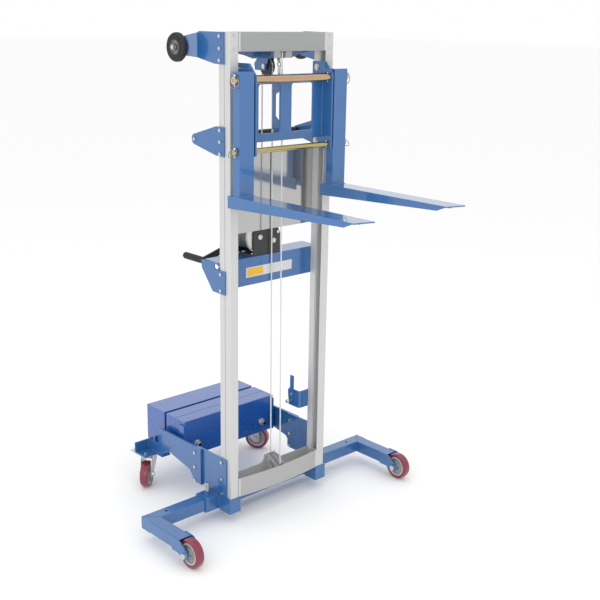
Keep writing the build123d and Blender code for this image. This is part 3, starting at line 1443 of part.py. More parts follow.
# Bolts, pins and nuts that stay with the frame
plate_bolts = []
for bolt_z in top_bolts + mid_bolts + winch_bolts:
    plate_bolts.append((rail_bolt_y, bolt_z, rail_out + bracket_t, rail_out - rail_wall))
for bolt_z in base_bolts:
    plate_bolts.append((rail_bolt_y, bolt_z, rail_out + side_plate_t, rail_out - rail_wall))
for bolt_z in arm_bolts:
    plate_bolts.append((arm_bolt_y, bolt_z, arm_in + arm_t, rail_out - 6.5))
plate_bolts.append((handle_y, handle_z, rail_out + bracket_t, rail_out - 25))
with BuildPart() as frame_fasteners:
    for bolt_y, bolt_z, head_x, end_x in plate_bolts:
        with BuildSketch(Plane.YZ.offset(end_x)):
            with Locations((bolt_y, bolt_z)):
                Circle(bolt_r)
        extrude(amount=head_x - end_x)
        with BuildSketch(Plane.YZ.offset(head_x)):
            with Locations((bolt_y, bolt_z)):
                RegularPolygon(bolt_head_r, 6)
        extrude(amount=bolt_head_t)
    for bolt_z in arm_bolts:
        with BuildSketch(Plane.YZ.offset(rail_out)):
            with Locations((arm_bolt_y, bolt_z)):
                RegularPolygon(bolt_head_r, 6)
        extrude(amount=-6.5)
    with BuildSketch(Plane.YZ.offset(load_plate_x - 6)):
        with Locations((load_wheel_y, load_wheel_z)):
            Circle(load_axle_r)
    extrude(amount=load_wheel_x + load_wheel_width / 2 + 3 - load_plate_x + 6)
    with BuildSketch(Plane.YZ.offset(load_plate_x)):
        with Locations((load_wheel_y, load_wheel_z)):
            RegularPolygon(9, 6)
    extrude(amount=-6)
    with BuildSketch(Plane.YZ.offset(load_plate_x + bracket_t)):
        with Locations((load_wheel_y, load_wheel_z)):
            Circle(8)
    extrude(amount=load_wheel_x - load_wheel_width / 2 - 2 - running_gap - load_plate_x - bracket_t)
    with BuildSketch(Plane.YZ.offset(load_wheel_x + load_wheel_width / 2 + 2 + running_gap)):
        with Locations((load_wheel_y, load_wheel_z)):
            RegularPolygon(9, 6)
    extrude(amount=5)
    for bolt_x in caster_bolt_x:
        for bolt_y in caster_bolt_y:
            bolt_top = flange_top if bolt_y < upright_y else plate_top
            with Locations((bolt_x, bolt_y, plate_bottom - 6)):
                Cylinder(bolt_r, bolt_top - plate_bottom + 6, align=(Align.CENTER, Align.CENTER, Align.MIN))
            with BuildSketch(Plane.XY.offset(bolt_top)):
                with Locations((bolt_x, bolt_y)):
                    RegularPolygon(bolt_head_r, 6)
            extrude(amount=bolt_head_t)
            with BuildSketch(Plane.XY.offset(plate_bottom)):
                with Locations((bolt_x, bolt_y)):
                    RegularPolygon(bolt_head_r, 6)
            extrude(amount=-6)
    mirror(about=Plane.YZ)
    with BuildSketch(Plane.YZ.offset(-16)):
        with Locations((top_sheave_y, top_sheave_z)):
            Circle(sheave_pin_r)
    extrude(amount=32)
    for face_x, way in ((-14, -1), (14, 1)):
        with BuildSketch(Plane.YZ.offset(face_x)):
            with Locations((top_sheave_y, top_sheave_z)):
                RegularPolygon(9, 6)
        extrude(amount=way * 6)
    with BuildSketch(Plane.YZ.offset(strap_x - running_gap - 4 - running_gap - 5)):
        with Locations((pivot_y, pivot_z)):
            RegularPolygon(7.5, 6)
    extrude(amount=5)
    with BuildSketch(Plane.YZ.offset(strap_x - running_gap - 4 - running_gap)):
        with Locations((pivot_y, pivot_z)):
            Circle(bolt_r)
    extrude(amount=strap_t + 4 + 2 * running_gap)
    with BuildSketch(Plane.YZ.offset(strap_x + strap_t)):
        with Locations((pivot_y, pivot_z)):
            RegularPolygon(7.5, 6)
    extrude(amount=6)
frame_fasteners.part.label = "frame_fasteners"
export_step(frame_fasteners.part, "parts/frame_fasteners.step")
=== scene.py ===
import json
import math

import bmesh
import bpy
from mathutils import Matrix, Vector

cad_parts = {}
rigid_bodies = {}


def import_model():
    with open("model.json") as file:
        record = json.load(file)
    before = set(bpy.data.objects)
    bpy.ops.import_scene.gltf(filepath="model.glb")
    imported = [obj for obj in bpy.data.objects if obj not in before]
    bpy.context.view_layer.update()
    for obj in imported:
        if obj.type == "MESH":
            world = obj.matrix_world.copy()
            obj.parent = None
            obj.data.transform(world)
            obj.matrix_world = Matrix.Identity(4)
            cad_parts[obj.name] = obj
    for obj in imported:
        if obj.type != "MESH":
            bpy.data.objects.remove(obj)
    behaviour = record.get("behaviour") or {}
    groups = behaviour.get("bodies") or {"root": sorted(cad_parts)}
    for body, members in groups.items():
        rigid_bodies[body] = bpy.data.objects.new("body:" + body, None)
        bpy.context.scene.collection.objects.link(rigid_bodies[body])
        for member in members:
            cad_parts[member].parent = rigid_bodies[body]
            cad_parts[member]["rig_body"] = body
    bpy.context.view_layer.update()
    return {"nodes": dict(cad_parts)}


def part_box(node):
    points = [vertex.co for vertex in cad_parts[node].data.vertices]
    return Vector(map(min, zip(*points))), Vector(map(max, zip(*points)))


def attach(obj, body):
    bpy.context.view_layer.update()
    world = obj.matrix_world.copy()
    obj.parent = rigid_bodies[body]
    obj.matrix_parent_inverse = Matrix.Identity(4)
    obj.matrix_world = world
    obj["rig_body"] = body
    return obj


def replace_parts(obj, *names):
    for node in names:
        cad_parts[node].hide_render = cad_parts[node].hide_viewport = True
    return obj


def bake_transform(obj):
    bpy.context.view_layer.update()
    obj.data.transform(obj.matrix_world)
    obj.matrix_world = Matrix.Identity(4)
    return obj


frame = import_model()


# Outer rails: two lipped channels of extruded aluminium that stand on the feet of the base.
# They are anodised satin, with fine die lines along their length, and bolted through their sides.
def new_finish(name):
    """A material with a bare shader, and that shader."""
    material = bpy.data.materials.new(name)
    material.use_nodes = True
    return material, material.node_tree.nodes["Principled BSDF"]


def surface_group(name, numbers):
    """A group that takes a colour, a stretch and these numbers, and puts out colour, roughness, normal."""
    group = bpy.data.node_groups.new(name, "ShaderNodeTree")
    face = group.interface
    face.new_socket(name="Colour", in_out="INPUT", socket_type="NodeSocketColor")
    face.new_socket(name="Stretch", in_out="INPUT", socket_type="NodeSocketVector")
    for socket_name, value in numbers.items():
        socket = face.new_socket(name=socket_name, in_out="INPUT", socket_type="NodeSocketFloat")
        socket.default_value = value
    face.new_socket(name="Colour", in_out="OUTPUT", socket_type="NodeSocketColor")
    face.new_socket(name="Roughness", in_out="OUTPUT", socket_type="NodeSocketFloat")
    face.new_socket(name="Normal", in_out="OUTPUT", socket_type="NodeSocketVector")
    return group, group.nodes.new("NodeGroupInput"), group.nodes.new("NodeGroupOutput")


def feed(group, socket, value):
    """The value goes into the socket, as a number or as a link from another socket."""
    if isinstance(value, float):
        socket.default_value = value
    else:
        group.links.new(value, socket)


def noise_at(group, place, scale, detail):
    """A noise texture in the group, read at that place, with a fixed or linked scale."""
    noise = group.nodes.new("ShaderNodeTexNoise")
    noise.inputs["Detail"].default_value = detail
    group.links.new(place, noise.inputs["Vector"])
    feed(group, noise.inputs["Scale"], scale)
    return noise.outputs["Fac"]


def reckon(group, operation, first, second):
    """One sum in the group. Each side is a socket or a number."""
    node = group.nodes.new("ShaderNodeMath")
    node.operation = operation
    for socket, value in zip(node.inputs, (first, second)):
        feed(group, socket, value)
    return node.outputs["Value"]


def grain_bump(group, height, strength):
    """A bump in the group that stands a fifth of a millimetre proud at full strength."""
    bump = group.nodes.new("ShaderNodeBump")
    bump.inputs["Distance"].default_value = 0.0002
    group.links.new(height, bump.inputs["Height"])
    feed(group, bump.inputs["Strength"], strength)
    return bump.outputs["Normal"]


def shaded_surface(name, cloud_scale, fine_detail):
    """A surface group: a fine grain that bumps and tints, over slow clouds that shift tone and gloss."""
    group, entry, leave = surface_group(
        name, {"Scale": 500.0, "Depth": 0.12, "Tone": 0.08, "Roughness": 0.4}
    )
    place = group.nodes.new("ShaderNodeTexCoord").outputs["Object"]
    stretched = group.nodes.new("ShaderNodeVectorMath")
    stretched.operation = "MULTIPLY"
    group.links.new(place, stretched.inputs[0])
    group.links.new(entry.outputs["Stretch"], stretched.inputs[1])
    grain = noise_at(group, stretched.outputs["Vector"], entry.outputs["Scale"], fine_detail)
    cloud = noise_at(group, place, cloud_scale, 5.0)
    mixed = reckon(group, "SUBTRACT", reckon(group, "ADD", grain, cloud), 1.0)
    shift = reckon(group, "MULTIPLY", mixed, entry.outputs["Tone"])
    tinted = group.nodes.new("ShaderNodeVectorMath")
    tinted.operation = "SCALE"
    group.links.new(entry.outputs["Colour"], tinted.inputs[0])
    group.links.new(reckon(group, "ADD", shift, 1.0), tinted.inputs["Scale"])
    group.links.new(tinted.outputs["Vector"], leave.inputs["Colour"])
    group.links.new(reckon(group, "ADD", entry.outputs["Roughness"], shift), leave.inputs["Roughness"])
    group.links.new(grain_bump(group, grain, entry.outputs["Depth"]), leave.inputs["Normal"])
    return group


def finish_from(group, name, colour, metallic=0.0, coat=0.0, gloss=0.12, stretch=(1, 1, 1), **numbers):
    """A material whose shader is fed by the group with these values."""
    material, shader = new_finish(name)
    node = material.node_tree.nodes.new("ShaderNodeGroup")
    node.node_tree = group
    node.inputs["Colour"].default_value = (*colour, 1)
    node.inputs["Stretch"].default_value = stretch
    for socket_name, value in numbers.items():
        node.inputs[socket_name.title()].default_value = value
    for link_from, link_to in (("Colour", "Base Color"), ("Roughness", "Roughness"), ("Normal", "Normal")):
        material.node_tree.links.new(node.outputs[link_from], shader.inputs[link_to])
    shader.inputs["Metallic"].default_value = metallic
    shader.inputs["Coat Weight"].default_value = coat
    shader.inputs["Coat Roughness"].default_value = gloss
    return material


def stand_piece(name, shape, material, body=None, sharp=45):
    """A finished bmesh as a piece that rides on that body, with crisp creases over the sharp angle."""
    bmesh.ops.recalc_face_normals(shape, faces=shape.faces)
    for face in shape.faces:
        face.smooth = True
        face.material_index = 0
    mesh = bpy.data.meshes.new(name)
    shape.to_mesh(mesh)
    shape.free()
    mesh.materials.append(material)
    mesh.set_sharp_from_angle(angle=math.radians(sharp))
    piece = bpy.data.objects.new(name, mesh)
    bpy.context.scene.collection.objects.link(piece)
    if body:
        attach(piece, body)
    return piece


def dress(node_name, material, rounding=0.0006, segments=2, foot=None):
    """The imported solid, merged and with its sharp edges eased, standing for that solid down to its foot."""
    merge_reach = 0.00001
    flat_angle = math.radians(0.6)
    corner_angle = math.radians(35)
    solid = frame["nodes"][node_name]
    shape = bmesh.new()
    shape.from_mesh(solid.data)
    bmesh.ops.remove_doubles(shape, verts=shape.verts, dist=merge_reach)
    if foot:
        everything = list(shape.verts) + list(shape.edges) + list(shape.faces)
        cut = bmesh.ops.bisect_plane(
            shape, geom=everything, plane_co=(0, 0, foot), plane_no=(0, 0, -1), clear_outer=True
        )["geom_cut"]
        bmesh.ops.holes_fill(shape, edges=[item for item in cut if isinstance(item, bmesh.types.BMEdge)])
    bmesh.ops.dissolve_limit(shape, angle_limit=flat_angle, verts=shape.verts, edges=shape.edges)
    corners = [edge for edge in shape.edges if edge.is_manifold and edge.calc_face_angle() > corner_angle]
    bmesh.ops.bevel(
        shape,
        geom=corners,
        offset=rounding,
        offset_type="OFFSET",
        segments=segments,
        profile=0.5,
        affect="EDGES",
        clamp_overlap=True,
        material=-1,
    )
    piece = stand_piece(node_name + "_dressed", shape, material, solid["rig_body"], sharp=50)
    shading = piece.modifiers.new("face_weight", "WEIGHTED_NORMAL")
    shading.keep_sharp = True
    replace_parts(piece, node_name)
    return piece


drawn_metal = shaded_surface("drawn_metal", 5.0, 3.0)
rail_aluminium = finish_from(
    drawn_metal,
    "rail_aluminium",
    (0.6, 0.6, 0.595),
    metallic=0.28,
    stretch=(1, 1, 0.004),
    scale=700.0,
    depth=0.12,
    tone=0.07,
    roughness=0.42,
)
dress("outer_rails", rail_aluminium, rounding=0.0004)

# Inner rails: the second pair of channels, which slide up in front of the outer pair on rear tongues.
# Same extrusion and finish as the outer rails. Places fore and aft are measured from their front.
dress("inner_rails", rail_aluminium, rounding=0.0004)
mast_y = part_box("inner_rails")[0].y

# Mast glides: white nylon blocks on the tongues of the inner rails, hidden inside the outer channels.
# Cut from bar and snapped over the tongue.
skin = shaded_surface("moulded_skin", 9.0, 2.0)
white_nylon = finish_from(skin, "white_nylon", (0.62, 0.62, 0.6), scale=300.0, depth=0.08, roughness=0.5)
dress("mast_glides", white_nylon, rounding=0.0004)

# Top beam of the inner mast: a grey painted steel box that closes the two rails at the top.
# Folded sheet with two sheave lugs welded under it and riveted to the rails.
beam_grey = finish_from(
    skin, "beam_grey", (0.33, 0.335, 0.335), coat=0.15, scale=420.0, depth=0.1, tone=0.08, roughness=0.42
)
dress("inner_top_beam", beam_grey, rounding=0.001)
beam_low, beam_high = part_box("inner_top_beam")


def thicken(shape, way):
    """The flat shape becomes a solid that reaches that way."""
    grown = bmesh.ops.extrude_face_region(shape, geom=list(shape.faces))["geom"]
    moved = [item for item in grown if isinstance(item, bmesh.types.BMVert)]
    bmesh.ops.translate(shape, verts=moved, vec=way)


def thin_plate(name, low_x, high_x, low_z, high_z, face_y, thickness, material, body):
    """A thin upright plate with rounded corners that stands in front of a face at that depth."""
    corner_radius = 0.002
    shape = bmesh.new()
    bmesh.ops.create_grid(shape, x_segments=1, y_segments=1, size=0.5)
    grow = Matrix.Diagonal((high_x - low_x, high_z - low_z, 1, 1))
    stand = Matrix.Rotation(math.pi / 2, 4, "X")
    centre = Vector(((low_x + high_x) / 2, face_y, (low_z + high_z) / 2))
    bmesh.ops.transform(shape, matrix=Matrix.Translation(centre) @ stand @ grow, verts=shape.verts)
    bmesh.ops.bevel(
        shape,
        geom=list(shape.verts),
        offset=corner_radius,
        offset_type="OFFSET",
        segments=4,
        profile=0.5,
        affect="VERTICES",
        material=-1,
    )
    thicken(shape, (0, -thickness, 0))
    return stand_piece(name, shape, material, body, sharp=30)


sides = ((-1, "left"), (1, "right"))
tab_width = 0.0085


def end_tabs(name, reach, low_z, high_z, face_y, thickness):
    """The two narrow bright tabs at the ends of a cross piece, on the fronts of the rails."""
    for side, side_name in sides:
        edges = sorted((side * reach, side * (reach - tab_width)))
        thin_plate(
            f"{name}_{side_name}", *edges, low_z, high_z, face_y, thickness, rail_aluminium, "inner_mast"
        )


end_tabs(
    "beam_end_tab",
    reach=0.1932,
    low_z=beam_low.z + 0.0235,
    high_z=beam_high.z - 0.001,
    face_y=mast_y,
    thickness=0.0012,
)

# Crossmember: the bowed grey plate at the foot of the inner mast, with a rear plate and two gussets.
# Bent and welded steel sheet, painted a lighter grey, bolted to the rails at its end plates.
cross_grey = finish_from(
    skin, "cross_grey", (0.4, 0.4, 0.395), coat=0.15, scale=420.0, depth=0.1, tone=0.08, roughness=0.42
)
dress("inner_crossmember", cross_grey, rounding=0.0008)


def draw_along(path, section, twist=0.0, swell=None):
    """A closed bmesh: the section of (side, up) points drawn along the path, turning twist per metre."""
    shape = bmesh.new()
    places = []
    side = (path[1] - path[0]).orthogonal().normalized()
    length = 0.0
    for index, point in enumerate(path):
        ahead = (path[min(index + 1, len(path) - 1)] - path[max(index - 1, 0)]).normalized()
        side = (side - ahead * side.dot(ahead)).normalized()
        if index:
            length += (point - path[index - 1]).length
        across = Matrix.Rotation(twist * length, 3, ahead) @ side
        grow = swell(length) if swell else 1.0
        columns = Matrix((across * grow, ahead.cross(across) * grow, ahead)).transposed()
        places.append(Matrix.Translation(point) @ columns.to_4x4())
    ring = [shape.verts.new(places[0] @ Vector((a, b, 0))) for a, b in section]
    first = shape.faces.new(ring)
    edges = list(first.edges)
    for before, after in zip(places, places[1:]):
        grown = bmesh.ops.extrude_edge_only(shape, edges=edges)["geom"]
        ring = [item for item in grown if isinstance(item, bmesh.types.BMVert)]
        edges = [
            item
            for item in grown
            if isinstance(item, bmesh.types.BMEdge) and len(item.link_faces) == 1
        ]
        bmesh.ops.transform(shape, matrix=after @ before.inverted(), verts=ring)
    bmesh.ops.contextual_create(shape, geom=edges)
    return shape


def round_section(radius, count):
    """The points of a circle as a section to draw."""
    return [
        (radius * math.cos(math.tau * step / count), radius * math.sin(math.tau * step / count))
        for step in range(count)
    ]


def line_points(start, end, step=0.0028):
    """Points from start to end, a step apart, without the last."""
    start, end = Vector(start), Vector(end)
    count = max(1, round((end - start).length / step))
    return [start.lerp(end, index / count) for index in range(count)]


def weld_bead(name, corners, material, body, size):
    """A hand-laid bead along the corners' line, with the ripples that the electrode leaves."""
    ripple = 0.0028
    ripple_share = 0.13
    path = []
    for start, end in zip(corners, corners[1:]):
        path += line_points(start, end, ripple / 4)
    path.append(Vector(corners[-1]))
    shape = draw_along(
        path,
        round_section(size, 8),
        swell=lambda length: 1 + ripple_share * math.sin(math.tau * length / ripple),
    )
    return stand_piece(name, shape, material, body, sharp=80)


def weld_pair(name, corners, material, body, size):
    """A bead on the right and its mirror on the left. Braces in the names stand for the side."""
    for side, side_name in sides:
        mirrored = [(side * x, y, z) for x, y, z in corners]
        weld_bead(name.format(side_name), mirrored, material, body.format(side_name), size)


def upright_line(x, y, low_z, high_z):
    """The two ends of an upright line."""
    return (x, y, low_z), (x, y, high_z)


cross_low, cross_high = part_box("inner_crossmember")
end_x, end_y = cross_high.x - 0.003, cross_high.y - 0.003
end_seam = upright_line(end_x, end_y, low_z=cross_low.z + 0.006, high_z=cross_low.z + 0.062)
weld_pair("crossmember_weld_{}", end_seam, cross_grey, "inner_mast", size=0.0018)
gusset_x, gusset_y = 0.0165, cross_high.y - 0.0032
gusset_seam = upright_line(gusset_x, gusset_y, low_z=cross_low.z + 0.02, high_z=cross_high.z - 0.006)
weld_pair("gusset_weld_{}", gusset_seam, cross_grey, "inner_mast", size=0.0016)
end_tabs(
    "crossmember_end_tab",
    reach=0.1928,
    low_z=cross_low.z + 0.002,
    high_z=0.1625,
    face_y=mast_y + 0.0006,
    thickness=0.0022,
)

# Inner mast fasteners: rivets in the rail fronts, crossmember bolts and the sheave pins.
# Bright zinc plated steel.
bright_zinc = finish_from(
    drawn_metal,
    "bright_zinc",
    (0.62, 0.62, 0.6),
    metallic=0.95,
    scale=420.0,
    depth=0.1,
    tone=0.14,
    roughness=0.3,
)
dress("inner_mast_fasteners", bright_zinc, rounding=0.0005)


def turned(profile, centre, axis, count=64, closed=True):
    """A bmesh turned from the profile of (along, out) points about the axis through the centre."""
    shape = bmesh.new()
    centre, axis = Vector(centre), Vector(axis).normalized()
    out = axis.orthogonal().normalized()
    ring = [shape.verts.new(centre + axis * along + out * reach) for along, reach in profile]
    edges = [shape.edges.new(pair) for pair in zip(ring, ring[1:])]
    if closed:
        edges.append(shape.edges.new((ring[-1], ring[0])))
    bmesh.ops.spin(
        shape, geom=ring + edges, cent=centre, axis=axis, angle=math.tau, steps=count, use_merge=True
    )
    bmesh.ops.remove_doubles(shape, verts=shape.verts, dist=0.000001)
    return shape


def dome_profile(radius, height):
    """Half the outline of a domed head, from its rim to the middle of its crown."""
    return (
        (0.0, 0.0),
        (0.0, radius),
        (height * 0.35, radius),
        (height * 0.72, radius * 0.82),
        (height * 0.94, radius * 0.48),
        (height, 0.0),
    )


def domed_heads(name, places, axis, material, body, radius, height):
    """A set of domed rivet or bolt heads that stand off a face in the direction of the axis."""
    shape = bmesh.new()
    for place in places:
        head = turned(dome_profile(radius, height), place, axis, 20, closed=False)
        part = bpy.data.meshes.new("head")
        head.to_mesh(part)
        head.free()
        shape.from_mesh(part)
        bpy.data.meshes.remove(part)
    return stand_piece(name, shape, material, body, sharp=40)


end_plate_x = 0.1895
end_bolt_y, end_bolt_z = mast_y + 0.038, 0.157
for side, side_name in sides:
    name = f"crossmember_end_bolt_{side_name}"
    place = (side * end_plate_x, end_bolt_y, end_bolt_z)
    domed_heads(name, [place], (-side, 0, 0), bright_zinc, "inner_mast", radius=0.007, height=0.004)

# Rope sheaves: a black nylon one on the top cross plate and two grey painted ones on the inner mast.
# Each runs on a plain pin between two lugs.
black_nylon = finish_from(skin, "black_nylon", (0.018, 0.018, 0.019), scale=300.0, roughness=0.42)
dress("top_sheave", black_nylon, rounding=0.0005)
dress("bottom_sheave", beam_grey, rounding=0.0005)
dress("inner_sheave", beam_grey, rounding=0.0005)

# Wire rope: six strands laid round a core, galvanised, 5 mm, in four runs from winch drum to carriage.
# The fall and the carriage run shorten and lengthen as the mast and the carriage move.
rope_r = 0.0025
rope_lay = 0.034
sheave_r = 0.026
small_sheave_r = 0.020
rope_steel = finish_from(
    drawn_metal,
    "rope_steel",
    (0.72, 0.72, 0.71),
    metallic=0.35,
    scale=900.0,
    depth=0.1,
    tone=0.12,
    roughness=0.45,
)


def strand_section(radius):
    """The outline of six round strands that touch, inside a circle of that radius."""
    count = 24
    outline = []
    for step in range(count):
        angle = math.tau * step / count
        lean = (angle + math.pi / 6) % (math.pi / 3) - math.pi / 6
        reach = radius * (2 / 3 * math.cos(lean) + math.sqrt(1 / 9 - 4 / 9 * math.sin(lean) ** 2 + 1e-9))
        outline.append((reach * math.cos(angle), reach * math.sin(angle)))
    return outline


def arc_points(centre, radius, start, end, step=0.0028):
    """Points of an arc in the YZ plane from start to end, in radians, without the last."""
    count = max(2, round(abs(end - start) * radius / step))
    angles = [start + (end - start) * index / count for index in range(count)]
    return [centre + radius * Vector((0, math.cos(angle), math.sin(angle))) for angle in angles]


def rope_run(name, path, body=None, material=rope_steel):
    """One run of stranded rope along the path."""
    shape = draw_along(path, strand_section(rope_r), twist=math.tau / rope_lay)
    return stand_piece(name, shape, material, body, sharp=180)


def middle(node_name):
    """The middle of a node's box at rest."""
    low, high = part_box(node_name)
    return (low + high) / 2


top_sheave = middle("top_sheave")
bottom_sheave = middle("bottom_sheave")
inner_sheave = middle("inner_sheave")
lift_start = Vector((0, top_sheave.y + sheave_r, middle("winch_drum").z))
fall_top = Vector((0, top_sheave.y - sheave_r, top_sheave.z))
fall_foot = Vector((0, bottom_sheave.y + sheave_r, bottom_sheave.z))
lift = line_points(lift_start, (0, top_sheave.y + sheave_r, top_sheave.z))
lift += arc_points(top_sheave, sheave_r, 0, math.pi) + [fall_top]
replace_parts(rope_run("rope_lift_strands", lift, "base"), "rope_lift")

rise = inner_sheave - bottom_sheave
touch_angle = math.atan2(rise.z, rise.y) + math.acos((sheave_r - small_sheave_r) / rise.length)
touch_way = Vector((0, math.cos(touch_angle), math.sin(touch_angle)))
eye_top = Vector((0, mast_y + 0.023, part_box("rope_carriage")[0].z + 0.0006))
drop = eye_top - inner_sheave
leave_angle = math.atan2(drop.z, drop.y) + math.acos(small_sheave_r / drop.length)
leave_point = inner_sheave + small_sheave_r * Vector((0, math.cos(leave_angle), math.sin(leave_angle)))
climb = arc_points(bottom_sheave, sheave_r, 0, touch_angle - math.tau)
climb += line_points(bottom_sheave + sheave_r * touch_way, inner_sheave + small_sheave_r * touch_way)
climb += arc_points(inner_sheave, small_sheave_r, touch_angle, leave_angle) + [leave_point]
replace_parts(rope_run("rope_inner_strands", climb, "inner_mast"), "rope_inner")

rope_fall = rope_run("rope_fall_strands", line_points(fall_top, fall_foot) + [fall_foot])
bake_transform(rope_fall)
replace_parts(rope_fall, "rope_fall")
carriage_run = line_points(leave_point, eye_top, step=0.0008) + [eye_top]
rope_down = rope_run("rope_carriage_strands", carriage_run)
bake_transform(rope_down)
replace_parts(rope_down, "rope_carriage")

# Top cross plate: a blue plate behind the outer rails, with two welded lugs that hold the black sheave.
# Laser-cut steel under glossy powder coat, like all the blue parts of the lift.
blue_coat = finish_from(
    skin,
    "blue_coat",
    (0.022, 0.122, 0.34),
    coat=0.9,
    gloss=0.06,
    scale=450.0,
    depth=0.1,
    tone=0.14,
    roughness=0.3,
)
dress("top_cross_plate", blue_coat, rounding=0.0008)
plate_thickness = 0.005
plate_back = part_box("outer_rails")[1].y + plate_thickness
lug_x = 0.0145
lug_seam = upright_line(lug_x, plate_back, low_z=1.617, high_z=1.683)
weld_pair("cross_plate_weld_{}", lug_seam, blue_coat, "base", size=0.0018)

# Top brackets: blue plates joggled outwards, bolted to the outer rails, that carry the loading wheels.
# Bent steel sheet, powder coated.
dress("top_brackets", blue_coat, rounding=0.0008)

# Loading wheels: solid black rubber tyres moulded on a dull metal hub, one on each top bracket.
# Each runs on a zinc bolt. The lift rolls on them when it is tipped back to load it.
rubber = finish_from(
    skin, "black_rubber", (0.014, 0.014, 0.015), scale=260.0, depth=0.2, tone=0.3, roughness=0.6
)
hub_grey = finish_from(
    drawn_metal,
    "hub_grey",
    (0.22, 0.22, 0.22),
    metallic=0.8,
    scale=300.0,
    depth=0.1,
    tone=0.15,
    roughness=0.32,
)


def both_halves(half):
    """A wheel part's whole outline, from the (along, out) points of one half and their mirror."""
    return (*half, *((-along, out) for along, out in reversed(half)))


def dress_wheel(node_name, axle, parts, count, sharp):
    """The turned parts of one wheel, which together stand for its solid."""
    body = frame["nodes"][node_name]["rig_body"]
    for part_name, half, material in parts:
        shape = turned(both_halves(half), middle(node_name), axle, count)
        part = stand_piece(f"{node_name}_{part_name}", shape, material, body, sharp)
        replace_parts(part, node_name)


tyre_half = (
    (-0.0085, 0.0238),
    (-0.0118, 0.0262),
    (-0.0125, 0.0305),
    (-0.0126, 0.0325),
    (-0.0114, 0.0332),
    (-0.0114, 0.0342),
    (-0.0125, 0.0349),
    (-0.0122, 0.0385),
    (-0.0108, 0.0392),
    (-0.0106, 0.0404),
    (-0.0114, 0.0412),
    (-0.0102, 0.0436),
    (-0.0062, 0.0464),
    (-0.0014, 0.047),
    (-0.0012, 0.0462),
)
hub_half = (
    (-0.0145, 0.0052),
    (-0.0145, 0.0105),
    (-0.0135, 0.0118),
    (-0.0085, 0.0125),
    (-0.0078, 0.0205),
    (-0.0104, 0.0212),
    (-0.0104, 0.0234),
    (-0.0085, 0.0242),
)
tyre_parts = (("tyre", tyre_half, rubber), ("hub", hub_half, hub_grey))
for side_name in ("left", "right"):
    dress_wheel(f"loading_wheel_{side_name}", (1, 0, 0), tyre_parts, count=64, sharp=30)

# Handle: a steel bar bolted between two blue brackets, in a long ribbed black rubber sleeve.
# The sleeve is moulded with fine ribs and a plain collar at each end.
dress("mid_brackets", blue_coat, rounding=0.0008)
dress("handle_bar", bright_zinc, rounding=0.0004)


def groove_points(radius, starts, step):
    """The outline across shallow grooves that begin at those places, each three steps wide."""
    groove_depth = 0.0009
    points = []
    for start in starts:
        for index, depth in enumerate((0.0, groove_depth, groove_depth, 0.0)):
            points.append((start + index * step, radius - depth))
    return points


sleeve_low, sleeve_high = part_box("handle_grip")
sleeve_half = (sleeve_high.x - sleeve_low.x) / 2
sleeve_r = (sleeve_high.z - sleeve_low.z) / 2
sleeve_bore = 0.0092
sleeve_collar = 0.02
sleeve_chamfer = 0.001
rib_pitch = 0.006
rib_count = int((sleeve_half - sleeve_collar) / rib_pitch)
sleeve_profile = [
    (-sleeve_half, sleeve_bore),
    (-sleeve_half, sleeve_r - sleeve_chamfer),
    (sleeve_chamfer - sleeve_half, sleeve_r),
]
grooves = [rib * rib_pitch for rib in range(-rib_count, rib_count)]
sleeve_profile += groove_points(sleeve_r, grooves, step=0.0012)
sleeve_profile += [
    (sleeve_half - sleeve_chamfer, sleeve_r),
    (sleeve_half, sleeve_r - sleeve_chamfer),
    (sleeve_half, sleeve_bore),
]
sleeve_shape = turned(sleeve_profile, middle("handle_grip"), (1, 0, 0), count=40)
sleeve = stand_piece("handle_sleeve", sleeve_shape, rubber, "base", sharp=50)
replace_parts(sleeve, "handle_grip")

# Back panel: a thin bright sheet between the outer rails, riveted on from behind.
# Mill-polished aluminium that mirrors the carriage softly.
polished = finish_from(
    drawn_metal,
    "polished_sheet",
    (0.5, 0.5, 0.5),
    metallic=0.85,
    stretch=(0.02, 1, 1),
    scale=300.0,
    depth=0.03,
    tone=0.05,
    roughness=0.1,
)
dress("back_panel", polished, rounding=0.0003)
panel_low, panel_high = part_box("back_panel")
rivet_inset = 0.015
rivet_margin = 0.02
rivet_pitch = (panel_high.z - panel_low.z - 2 * rivet_margin) / 2
panel_rivets = [
    (side * (panel_high.x - rivet_inset), panel_high.y, panel_low.z + rivet_margin + step * rivet_pitch)
    for side in (-1, 1)
    for step in range(3)
]
domed_heads("panel_rivets", panel_rivets, (0, 1, 0), bright_zinc, "base", radius=0.004, height=0.0018)

# Winch beam: one blue folded sheet across the outer rails, with a bolted side plate at each end.
# Its front carries a blank rating card, yellow at one end and white over the rest.
dress("winch_beam", blue_coat, rounding=0.0008)
beam_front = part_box("outer_rails")[1].y
card_thickness = 0.0003
card_white = finish_from(
    skin, "card_white", (0.62, 0.63, 0.64), scale=250.0, depth=0.03, tone=0.06, roughness=0.35
)
card_yellow = finish_from(
    skin, "card_yellow", (0.78, 0.46, 0.03), scale=250.0, depth=0.03, tone=0.06, roughness=0.35
)
thin_plate(
    "rating_card_white",
    low_x=-0.112,
    high_x=0.101,
    low_z=0.878,
    high_z=0.913,
    face_y=beam_front,
    thickness=card_thickness,
    material=card_white,
    body="base",
)
thin_plate(
    "rating_card_yellow",
    low_x=-0.107,
    high_x=-0.034,
    low_z=0.8815,
    high_z=0.9095,
    face_y=beam_front - card_thickness,
    thickness=0.0002,
    material=card_yellow,
    body="base",
)

